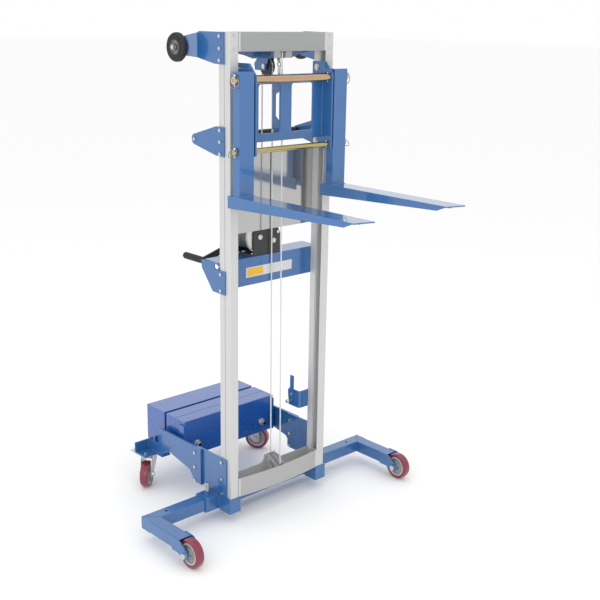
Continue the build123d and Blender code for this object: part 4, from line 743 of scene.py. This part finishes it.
# Winch frame: a black U of folded steel bolted on the beam, with two cheeks for the shafts.
# Painted black, with one bright domed bolt in the front cheek and four at the foot.
black_coat = finish_from(
    skin, "black_coat", (0.014, 0.014, 0.015), coat=0.3, scale=420.0, depth=0.15, tone=0.3, roughness=0.4
)
dress("winch_frame", black_coat, rounding=0.001, segments=3)
cheek_low, cheek_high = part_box("winch_frame")
cheek_bolt = (cheek_high.x - 0.011, cheek_low.y, cheek_low.z + 0.074)
domed_heads("winch_cheek_bolts", [cheek_bolt], (0, -1, 0), bright_zinc, "base", radius=0.0065, height=0.004)
foot_thickness = 0.004
foot_inset_x = 0.012
foot_inset_y = 0.02
foot_bolts = [
    (x, y, cheek_low.z + foot_thickness)
    for x in (cheek_low.x + foot_inset_x, cheek_high.x - foot_inset_x)
    for y in (cheek_low.y + foot_inset_y, cheek_high.y - foot_inset_y)
]
domed_heads("winch_base_bolts", foot_bolts, (0, 0, 1), bright_zinc, "base", radius=0.007, height=0.0045)

# Winch drum and pinion: a gear, two flanges and a shaft in one, wound with eleven turns of the rope,
# and the small gear on the crank's shaft.
# Machined steel, zinc plated, with a domed nut on the front end of each shaft.
dress("winch_drum", bright_zinc, rounding=0.0004)
dress("winch_pinion", bright_zinc, rounding=0.0004)
drum_axis = Vector((-0.047, 0, 1.013))
pinion_axis = Vector((0.0155, 0, 0.994))
winding_turns = 11
turn_steps = 48
winding_pitch = 0.0052
winding_r = 0.0467
winding_start = mast_y + 0.0798
winding = []
for step in range(winding_turns * turn_steps + 1):
    angle = math.tau * step / turn_steps
    across = drum_axis.x + winding_r * math.cos(angle)
    along = winding_start + winding_pitch * step / turn_steps
    winding.append(Vector((across, along, drum_axis.z + winding_r * math.sin(angle))))
# The rope wound on the drum is a darker copy of the running rope's colour: painted shade for the shade
# between the black winch cheeks.
shaded_winding_rope = finish_from(
    drawn_metal,
    "shaded_winding_rope",
    (0.2, 0.195, 0.185),
    metallic=0.7,
    scale=900.0,
    depth=0.1,
    tone=0.3,
    roughness=0.42,
)
rope_run("drum_winding", winding, "drum", shaded_winding_rope)
for shaft_name, shaft in (("winch_drum", drum_axis), ("winch_pinion", pinion_axis)):
    name, body = f"{shaft_name}_shaft_nut", frame["nodes"][shaft_name]["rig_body"]
    place = (shaft.x, cheek_low.y - 0.0004, shaft.z)
    domed_heads(name, [place], (0, -1, 0), bright_zinc, body, radius=0.0105, height=0.0075)

# Crank: a flat black arm pressed on the pinion shaft, with a free-turning rubber grip on its end.
# The grip is moulded with ribs round it and a rounded end.
dress("crank_arm", black_coat, rounding=0.001, segments=3)
grip_low, grip_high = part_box("crank_grip")
grip_length = grip_high.y - grip_low.y
grip_r = (grip_high.z - grip_low.z) / 2
grip_bore = 0.0052
first_groove = 0.008
groove_pitch = 0.0072
groove_count = 12
grip_profile = [(0.0, grip_bore), (0.0, grip_r - 0.0015), (0.0015, grip_r)]
grooves = [first_groove + rib * groove_pitch for rib in range(groove_count)]
grip_profile += groove_points(grip_r, grooves, step=0.0011)
grip_profile += [
    (grip_length - 0.005, grip_r),
    (grip_length - 0.0018, grip_r - 0.0014),
    (grip_length, grip_r - 0.0045),
    (grip_length, grip_bore),
]
grip_foot = middle("crank_grip") - Vector((0, grip_length / 2, 0))
grip_shape = turned(grip_profile, grip_foot, (0, 1, 0), count=40)
grip_body = frame["nodes"]["crank_grip"]["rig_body"]
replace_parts(stand_piece("crank_grip_rubber", grip_shape, rubber, grip_body, sharp=50), "crank_grip")

# Base frame: the cross tube that the legs slide in, with the two feet that the mast stands on.
# Square steel tube and plate, welded all round the feet and the pin collars, then powder coated blue.
dress("base_frame", blue_coat, rounding=0.0008)
tube_face = mast_y + 0.058
tube_middle = mast_y + 0.0885
foot_inner, foot_outer = 0.1857, 0.2351
for edge_name, edge_x in (("inner", foot_inner), ("outer", foot_outer)):
    foot_seam = upright_line(edge_x, tube_face - 0.0002, low_z=0.043, high_z=0.0915)
    weld_pair("foot_weld_{}_" + edge_name, foot_seam, blue_coat, "base", size=0.0022)
seam_y, seam_z = tube_face + 0.0004, 0.0928
top_seam = ((foot_inner, seam_y, seam_z), (foot_outer, seam_y, seam_z))
weld_pair("foot_weld_{}_top", top_seam, blue_coat, "base", size=0.002)
pin_x = 0.265
collar_r = 0.0092
collar_foot = 0.0966
collar_ring = round_section(collar_r, 32)
for side, side_name in sides:
    collar = [
        (side * pin_x + across, tube_middle + along, collar_foot)
        for across, along in (*collar_ring, collar_ring[0])
    ]
    weld_bead(f"collar_weld_{side_name}", collar, blue_coat, "base", size=0.0016)

# Pull pins: turned pins that lock the legs, each in one with the spool-shaped knob that lifts it.
# Steel, bright zinc plated. Each drops into its collar on the cross tube.
knob_height = 0.0345
spool_profile = (
    (-0.018, 0.0),
    (-0.018, 0.005),
    (0.0, 0.005),
    (0.0, 0.0068),
    (0.0205, 0.0068),
    (0.0212, 0.0092),
    (0.0225, 0.01),
    (0.0265, 0.01),
    (0.0275, 0.009),
    (0.0278, 0.0072),
    (0.0288, 0.0072),
    (0.0292, 0.009),
    (0.0302, 0.01),
    (0.0328, 0.01),
    (0.034, 0.0088),
    (knob_height, 0.006),
    (knob_height, 0.0),
)
for side, side_name in sides:
    node_name = f"pull_pin_{side_name}"
    body = frame["nodes"][node_name]["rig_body"]
    knob_foot = (side * pin_x, tube_middle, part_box(node_name)[1].z - knob_height)
    pin_shape = turned(spool_profile, knob_foot, (0, 0, 1), count=40, closed=False)
    pin = stand_piece(f"{node_name}_spool", pin_shape, bright_zinc, body, sharp=35)
    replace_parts(pin, node_name)

# Straddle legs: square tubes that slide in the cross tube, mitred and welded at the corner.
# Each ends in two welded fork plates with a bolt for its wheel.
leg_top = 0.091
leg_inner, leg_outer = 0.481, 0.531
leg_half = (leg_outer - leg_inner) / 2
wheel_bolt_ends = ((0.5362, 0.55), (0.462, 0.4758))
bolt_front, bolt_rear = mast_y - 0.154, mast_y - 0.127
bolt_foot, bolt_top = 0.036, 0.064


def refinish(piece, material, low, high):
    """Faces whose middle lies between the two corners take that material."""
    piece.data.materials.append(material)
    slot_number = len(piece.data.materials) - 1
    for face in piece.data.polygons:
        if all(least < value < most for least, value, most in zip(low, face.center, high)):
            face.material_index = slot_number


for side, side_name in sides:
    tube = dress(f"leg_{side_name}", blue_coat, rounding=0.0008)
    for near, far in wheel_bolt_ends:
        edges = sorted((side * near, side * far))
        refinish(tube, bright_zinc, (edges[0], bolt_front, bolt_foot), (edges[1], bolt_rear, bolt_top))
mitre_end = 0.0035
corner_y = tube_middle - leg_half
corner_seam = (
    (leg_inner, corner_y, 0.049),
    (leg_inner, corner_y, leg_top - 0.001),
    (leg_outer - mitre_end, tube_middle + leg_half - mitre_end, leg_top + 0.0001),
)
weld_pair("leg_corner_weld_{}", corner_seam, blue_coat, "leg_{}", size=0.0018)
fork_plate_y, fork_plate_end = mast_y - 0.069, mast_y - 0.1
for edge_name, edge_x in (("inner", leg_inner), ("outer", leg_outer)):
    fork_seam = (
        (edge_x, fork_plate_y, 0.05),
        (edge_x, fork_plate_y, leg_top - 0.0005),
        (edge_x, fork_plate_end, leg_top - 0.0003),
    )
    weld_pair("leg_fork_weld_{}_" + edge_name, fork_seam, blue_coat, "leg_{}", size=0.0018)

# Wheels: burgundy polyurethane treads moulded on grey webs with paler lips, with sealed ball bearings.
# The four are alike, two on the legs and two in the swivel casters.
burgundy = finish_from(
    skin,
    "burgundy_tread",
    (0.21, 0.016, 0.045),
    coat=0.5,
    scale=300.0,
    depth=0.06,
    tone=0.12,
    roughness=0.3,
)
rim_grey = finish_from(skin, "rim_grey", (0.3, 0.3, 0.3), scale=300.0, depth=0.1, tone=0.1, roughness=0.42)
lip_grey = finish_from(
    skin, "lip_grey", (0.58, 0.58, 0.57), scale=300.0, depth=0.06, tone=0.1, roughness=0.36
)
tread_half = (
    (-0.0125, 0.0372),
    (-0.0148, 0.0385),
    (-0.016, 0.041),
    (-0.0159, 0.0445),
    (-0.0142, 0.0478),
    (-0.0105, 0.0496),
    (-0.004, 0.05),
)
rim_half = (
    (-0.0145, 0.0125),
    (-0.0152, 0.0145),
    (-0.0152, 0.0178),
    (-0.0138, 0.0192),
    (-0.0092, 0.0202),
    (-0.0086, 0.0305),
    (-0.0128, 0.0325),
)
lip_half = ((-0.0128, 0.0325), (-0.0142, 0.034), (-0.0142, 0.0368), (-0.0125, 0.0378))
bearing_half = (
    (-0.016, 0.0062),
    (-0.016, 0.0088),
    (-0.0152, 0.0092),
    (-0.0152, 0.0116),
    (-0.0156, 0.0119),
    (-0.0156, 0.013),
)
wheel_parts = (
    ("tread", tread_half, burgundy),
    ("rim", rim_half, rim_grey),
    ("lip", lip_half, lip_grey),
    ("bearing", bearing_half, bright_zinc),
)
for side_name in ("left", "right"):
    dress_wheel(f"leg_wheel_{side_name}", (1, 0, 0), wheel_parts, count=72, sharp=35)
for side_name, trail_way in (("left", (-0.77, -0.64, 0)), ("right", (0.5, -0.866, 0))):
    trail = Vector(trail_way).normalized()
    dress_wheel(f"caster_wheel_{side_name}", (trail.y, -trail.x, 0), wheel_parts, count=72, sharp=35)

# Lower side plates and rear arms: thick blue plates, lapped and bolted, that reach back to the casters.
# Laser cut from plate, powder coated before they are bolted up.
dress("lower_side_plates", blue_coat, rounding=0.0009)
dress("rear_arms", blue_coat, rounding=0.0011)

# Caster brackets: blue angles welded under the ends of the rear arms.
# Folded from plate, with a weld along the foot of each arm.
dress("caster_brackets", blue_coat, rounding=0.0008)
arm_face = 0.2428
bracket_top = 0.1342
arm_seam = ((arm_face, mast_y + 0.396, bracket_top), (arm_face, mast_y + 0.482, bracket_top))
weld_pair("arm_weld_{}", arm_seam, blue_coat, "base", size=0.0022)
upright_seam = upright_line(arm_face, mast_y + 0.4848, low_z=0.136, high_z=0.169)
weld_pair("upright_weld_{}", upright_seam, blue_coat, "base", size=0.0022)

# Swivel casters: zinc plated pressings, a bolted top plate, a double ball race and a forked yoke.
# A toothed ring under the crown is what the brake pedal grips.
dress("caster_plates", bright_zinc, rounding=0.0008)
lock_steel = finish_from(
    drawn_metal,
    "lock_steel",
    (0.07, 0.07, 0.075),
    metallic=0.8,
    scale=500.0,
    depth=0.1,
    tone=0.2,
    roughness=0.4,
)
race_profile = (
    (-0.0002, 0.012),
    (-0.0002, 0.0272),
    (-0.0022, 0.029),
    (-0.0048, 0.0282),
    (-0.0052, 0.0262),
    (-0.0062, 0.026),
    (-0.0082, 0.0252),
    (-0.0082, 0.012),
)
pivot_x, pivot_y = 0.248, mast_y + 0.474
plate_foot = 0.125
teeth_foot = 0.1062
teeth_height = 0.0075
teeth_r = 0.0172
gap_share = 0.87
for side, side_name in sides:
    dress(f"caster_yoke_{side_name}", bright_zinc, rounding=0.0005)
    dress(f"brake_pedal_{side_name}", bright_zinc, rounding=0.0008)
    pivot = Vector((side * pivot_x, pivot_y, 0))
    race = turned(race_profile, pivot + Vector((0, 0, plate_foot)), (0, 0, 1), count=56)
    stand_piece(f"caster_race_{side_name}", race, bright_zinc, "base", sharp=30)
    teeth = bmesh.new()
    bmesh.ops.create_circle(teeth, cap_ends=True, radius=teeth_r, segments=48)
    for index, corner in enumerate(list(teeth.verts)):
        if index % 4 in (2, 3):
            corner.co *= gap_share
    thicken(teeth, (0, 0, teeth_height))
    bmesh.ops.translate(teeth, verts=teeth.verts, vec=pivot + Vector((0, 0, teeth_foot)))
    stand_piece(f"caster_lock_teeth_{side_name}", teeth, lock_steel, f"caster_{side_name}", sharp=30)

# Counterweights: cast blocks under thick royal blue enamel, clamped by two threaded tie rods.
# They stand on a blue tray between the rear arms, which two cross bars and two side stops hold.
# The bars are cut off at the tray's foot, shallower than in the solid.
weight_blue = finish_from(
    skin,
    "weight_blue",
    (0.011, 0.088, 0.37),
    coat=1.0,
    gloss=0.08,
    scale=160.0,
    depth=0.03,
    tone=0.08,
    roughness=0.28,
)
tray_foot = 0.147
dress("counterweights", weight_blue, rounding=0.0012, segments=3)
dress("weight_tray", weight_blue, rounding=0.0008, foot=tray_foot)
dress("tie_rods", bright_zinc, rounding=0.0005)


def thread_profile(radius, start, end, pitch=0.002):
    """The outline of a threaded end between two places on its axis."""
    crest, root = radius + 0.00035, radius - 0.0006
    profile = [(start, 0.0), (start, radius)]
    count = int((end - start) / pitch)
    for turn in range(count):
        foot = start + turn * pitch
        profile += [(foot + 0.0002, crest), (foot + pitch / 2, crest), (foot + pitch * 0.7, root)]
    return profile + [(end - 0.0006, radius), (end, radius - 0.001), (end, 0.0)]


tie_low, tie_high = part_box("tie_rods")
weight_low, weight_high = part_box("counterweights")
tie_x = 0.160
tie_z = 0.196
tie_r = 0.008
nut_reach = 0.012
for side, side_name in sides:
    for end_name, start, end, way in (
        ("front", weight_low.y - nut_reach, tie_low.y, -1),
        ("rear", weight_high.y + nut_reach, tie_high.y, 1),
    ):
        profile = thread_profile(tie_r, 0.0, abs(end - start))
        thread = turned(profile, (side * tie_x, start, tie_z), (0, way, 0), count=28, closed=False)
        stand_piece(f"tie_rod_thread_{end_name}_{side_name}", thread, bright_zinc, "base", sharp=30)

# Mast latch: a blue bent strap on the right outer rail, with a lever on a pivot bolt.
# The lever is pulled by a knurled zinc knob.
dress("latch_bracket", blue_coat, rounding=0.0008)
dress("latch_lever", blue_coat, rounding=0.0008)
knob_place = Vector((0.1457, mast_y + 0.103, 0.346))
knob_profile = (
    (0.0, 0.0),
    (0.0, 0.0035),
    (0.0118, 0.0035),
    (0.012, 0.0062),
    (0.0128, 0.0072),
    (0.0135, 0.0066),
    (0.0143, 0.0072),
    (0.0151, 0.0066),
    (0.0159, 0.0072),
    (0.0167, 0.0066),
    (0.0175, 0.0072),
    (0.0186, 0.0064),
    (0.0194, 0.0045),
    (0.0196, 0.0),
)
knob_shape = turned(knob_profile, knob_place, (-1, 0, 0), count=32, closed=False)
stand_piece("latch_knob", knob_shape, bright_zinc, "latch_lever", sharp=40)

# Carriage frame: two side plates joined by a windowed back plate with a channel post in the middle.
# Laser-cut steel, welded down both sides of the back plate and powder coated blue.
dress("carriage_frame", blue_coat, rounding=0.0009)
side_plate_x, side_plate_y = 0.1658, mast_y - 0.0142
side_seam = upright_line(side_plate_x, side_plate_y, low_z=1.356, high_z=1.562)
weld_pair("carriage_weld_{}", side_seam, blue_coat, "carriage", size=0.0024)
post_x, post_y = 0.0247, mast_y - 0.0098
post_seam = upright_line(post_x, post_y, low_z=1.366, high_z=1.55)
weld_pair("post_weld_{}", post_seam, blue_coat, "carriage", size=0.002)

# Fork rods: two bars across the carriage that the forks hang on and slide along.
# Bright steel, yellow chromated, so that the gold drifts to rose and olive.
drift, entry, leave = surface_group("chromate_drift", {"Tone": 0.12, "Roughness": 0.17})
drift_place = drift.nodes.new("ShaderNodeTexCoord").outputs["Object"]
drift_noise = noise_at(drift, drift_place, 7.0, 3.0)
hues = drift.nodes.new("ShaderNodeValToRGB")
hues.color_ramp.elements[0].position = 0.3
hues.color_ramp.elements[0].color = (0.52, 0.45, 0.19, 1)
hues.color_ramp.elements[1].position = 0.85
hues.color_ramp.elements[1].color = (0.58, 0.37, 0.25, 1)
middle_hue = hues.color_ramp.elements.new(0.58)
middle_hue.color = (0.6, 0.45, 0.25, 1)
carriage_middle = 1.44
drift_height = drift.nodes.new("ShaderNodeSeparateXYZ")
drift.links.new(drift_place, drift_height.inputs["Vector"])
rise_share = reckon(
    drift, "MULTIPLY", reckon(drift, "SUBTRACT", drift_height.outputs["Z"], carriage_middle), 2.0
)
drift.links.new(reckon(drift, "ADD", drift_noise, rise_share), hues.inputs["Fac"])
drift_tint = drift.nodes.new("ShaderNodeVectorMath")
drift_tint.operation = "MULTIPLY"
drift.links.new(hues.outputs["Color"], drift_tint.inputs[0])
drift.links.new(entry.outputs["Colour"], drift_tint.inputs[1])
drift.links.new(drift_tint.outputs["Vector"], leave.inputs["Colour"])
drift_shift = reckon(drift, "MULTIPLY", reckon(drift, "SUBTRACT", drift_noise, 0.5), entry.outputs["Tone"])
drift.links.new(reckon(drift, "ADD", entry.outputs["Roughness"], drift_shift), leave.inputs["Roughness"])
drift_fine = noise_at(drift, drift_place, 600.0, 2.0)
drift.links.new(grain_bump(drift, drift_fine, 0.08), leave.inputs["Normal"])
gold_zinc = finish_from(drift, "gold_zinc", (0.9, 0.9, 0.9), metallic=1.0)
rods = dress("carriage_rods", gold_zinc, rounding=0.0006)
rod_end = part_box("carriage_rods")[1].x
for side in (-1, 1):
    edges = sorted((side * (rod_end - 0.0012), side * (rod_end + 0.001)))
    refinish(rods, bright_zinc, (edges[0], -1, 0), (edges[1], 1, 2))

# Carriage fasteners: ring pins and stop pins of the fork rods, roller axles with washers, the rope eye.
# Zinc plated. A spring ring is snapped round each rod's end, and a ferrule is pressed on the rope.
dress("carriage_fasteners", bright_zinc, rounding=0.0005)
spring_steel = finish_from(
    drawn_metal,
    "spring_steel",
    (0.3, 0.27, 0.22),
    metallic=0.9,
    scale=500.0,
    depth=0.1,
    tone=0.2,
    roughness=0.3,
)
rod_y = mast_y - 0.044
ring_pin_x = 0.244
stop_pin_x = 0.1605
stop_pin_r = 0.0022
ring_wire_r = 0.0013
for rod_name, rod_z, rod_r, ring_r, lean in (
    ("upper", 1.5546, 0.012, 0.0205, 0.1),
    ("lower", 1.3298, 0.009, 0.0165, 0.62),
):
    head_z = rod_z + rod_r + 0.004
    ring_profile = [(along, ring_r + out) for along, out in round_section(ring_wire_r, 12)]
    stop_profile = (
        (-0.003 - rod_r, 0.0),
        (-0.003 - rod_r, stop_pin_r),
        (rod_r + 0.0035, stop_pin_r),
        (rod_r + 0.0045, 0.0),
    )
    for side, side_name in sides:
        hang = Vector((side * math.sin(lean), 0, -math.cos(lean)))
        ring_place = Vector((side * ring_pin_x, rod_y, head_z)) + hang * ring_r
        ring = turned(ring_profile, ring_place, (hang.z, 0, -hang.x), count=56)
        stand_piece(f"ring_pin_ring_{rod_name}_{side_name}", ring, spring_steel, "carriage", sharp=80)
        name = f"rod_tip_{rod_name}_{side_name}"
        place = (side * rod_end, rod_y, rod_z)
        domed_heads(name, [place], (side, 0, 0), gold_zinc, "carriage", radius=0.0065, height=0.0035)
        stop_place = (side * stop_pin_x, rod_y, rod_z)
        stop_pin = turned(stop_profile, stop_place, (0, 0, 1), count=20, closed=False)
        stand_piece(f"rod_stop_pin_{rod_name}_{side_name}", stop_pin, bright_zinc, "carriage", sharp=30)
ferrule_bore = 0.0021
ferrule_profile = (
    (0.0, ferrule_bore),
    (0.0, 0.0048),
    (0.0012, 0.0056),
    (0.0085, 0.0056),
    (0.0095, 0.005),
    (0.0105, 0.0056),
    (0.0188, 0.0056),
    (0.02, 0.0048),
    (0.02, ferrule_bore),
)
ferrule_alloy = finish_from(
    drawn_metal, "ferrule_alloy", (0.5, 0.49, 0.47), metallic=0.9, scale=500.0, depth=0.1, roughness=0.34
)
ferrule_place = eye_top + Vector((0, 0, 0.0005))
ferrule = turned(ferrule_profile, ferrule_place, leave_point - eye_top, count=32)
stand_piece("rope_eye_ferrule", ferrule, ferrule_alloy, "carriage", sharp=30)
tail_foot = eye_top + Vector((0.0052, 0, 0.008))
tail_tip = eye_top + Vector((0.0082, -0.002, 0.0235))
rope_run("rope_eye_tail", line_points(tail_foot, tail_tip) + [tail_tip], "carriage")

washer_bore = 0.006
washer_profile = (
    (0.0, washer_bore),
    (0.0, 0.0108),
    (0.0004, 0.0113),
    (0.0014, 0.0113),
    (0.0018, 0.0108),
    (0.0018, washer_bore),
)
axle_face, axle_y = 0.166, mast_y + 0.0145
for side, side_name in sides:
    for axle_name, axle_z in (("upper", 1.585), ("lower", 1.336)):
        washer_place = (side * axle_face, axle_y, axle_z)
        washer = turned(washer_profile, washer_place, (-side, 0, 0), count=32)
        stand_piece(f"axle_washer_{axle_name}_{side_name}", washer, bright_zinc, "carriage", sharp=30)

# Guide rollers: white nylon, four on the carriage, that run inside the inner rails.
# Turned from bar with a chamfer at each rim.
for roller_name in ("roller_upper_left", "roller_upper_right", "roller_lower_left", "roller_lower_right"):
    dress(roller_name, white_nylon, rounding=0.0004)

# Forks: a solid shank hung on the two rods and welded on an inverted channel blade with a bevelled tip.
# Powder coated blue, with a smoother and glossier coat than the frame's.
fork_finish = finish_from(
    skin,
    "fork_blue",
    (0.024, 0.13, 0.355),
    coat=1.0,
    gloss=0.03,
    scale=450.0,
    depth=0.06,
    tone=0.16,
    roughness=0.22,
)
shank_in, shank_out = 0.178, 0.238
shank_front, shank_rear = mast_y - 0.06, mast_y - 0.03
blade_top = 1.188
for side_name in ("left", "right"):
    dress(f"fork_{side_name}", fork_finish, rounding=0.001, segments=3)
shank_seam = (
    (shank_in, shank_rear, blade_top),
    (shank_in, shank_front, blade_top),
    (shank_out, shank_front, blade_top),
    (shank_out, shank_rear, blade_top),
)
weld_pair("shank_weld_{}", shank_seam, fork_finish, "fork_{}", size=0.0026)

# Frame bolts: hex bolts and nuts that join the plates to the rails, and the sheave pin.
# Bright zinc plated steel.
dress("frame_fasteners", bright_zinc, rounding=0.0005)

# Studio: a pale floor under a white surround, with large soft lamps.
# The camera stands in front and to the left, where the photograph was taken.
floor_shape = bmesh.new()
bmesh.ops.create_grid(floor_shape, x_segments=1, y_segments=1, size=60)
floor_mesh = bpy.data.meshes.new("floor")
floor_shape.to_mesh(floor_mesh)
floor_shape.free()
floor = bpy.data.objects.new("floor", floor_mesh)
bpy.context.scene.collection.objects.link(floor)
floor_finish, floor_shader = new_finish("pale_floor")
floor_shader.inputs["Base Color"].default_value = (0.97, 0.97, 0.97, 1)
floor_shader.inputs["Roughness"].default_value = 0.9
floor_shader.inputs["Specular IOR Level"].default_value = 0.1
floor_mesh.materials.append(floor_finish)

world = bpy.data.worlds.new("studio")
bpy.context.scene.world = world
world.use_nodes = True
world.node_tree.nodes["Background"].inputs["Color"].default_value = (1, 1, 1, 1)
world.node_tree.nodes["Background"].inputs["Strength"].default_value = 1.0


def soft_lamp(name, place, aim, width, height, power):
    """A large rectangular lamp at a place, turned to its aim."""
    data = bpy.data.lights.new(name, "AREA")
    data.shape = "RECTANGLE"
    data.size, data.size_y = width, height
    data.energy = power
    lamp = bpy.data.objects.new(name, data)
    bpy.context.scene.collection.objects.link(lamp)
    lamp.location = place
    lamp.rotation_euler = (Vector(aim) - Vector(place)).to_track_quat("-Z", "Y").to_euler()


soft_lamp("key_lamp", place=(-0.5, -3.8, 3.2), aim=(0, 0, 0.8), width=2.5, height=2.5, power=9)
soft_lamp("mast_lamp", place=(-2.7, -1.5, 1.5), aim=(0.2, 0, 1.0), width=1.4, height=2.2, power=16)
soft_lamp("side_lamp", place=(-3.6, 0.4, 2.4), aim=(0, 0, 0.8), width=2.0, height=2.5, power=6)
soft_lamp("top_lamp", place=(0.3, 0.3, 4.2), aim=(0, 0, 0.8), width=3.0, height=3.0, power=16)

camera_data = bpy.data.cameras.new("camera")
camera = bpy.data.objects.new("camera", camera_data)
bpy.context.scene.collection.objects.link(camera)
bpy.context.scene.camera = camera
image_width = 600
focal_pixels = 997.05
camera_place = (-2.2533, mast_y - 2.5024, 1.7552)
yaw, pitch, roll = (math.radians(angle) for angle in (-43.14, -15.96, 1.00))
camera_data.sensor_fit = "HORIZONTAL"
camera_data.sensor_width = 36
camera_data.lens = focal_pixels / image_width * camera_data.sensor_width
ahead = Vector((-math.sin(yaw) * math.cos(pitch), math.cos(yaw) * math.cos(pitch), math.sin(pitch)))
level = Vector((math.cos(yaw), math.sin(yaw), 0))
upward = level.cross(ahead)
right = level * math.cos(roll) + upward * math.sin(roll)
above = upward * math.cos(roll) - level * math.sin(roll)
turn = Matrix((right, above, -ahead)).transposed().to_4x4()
camera.matrix_world = Matrix.Translation(camera_place) @ turn

bpy.context.scene.view_settings.view_transform = "Standard"
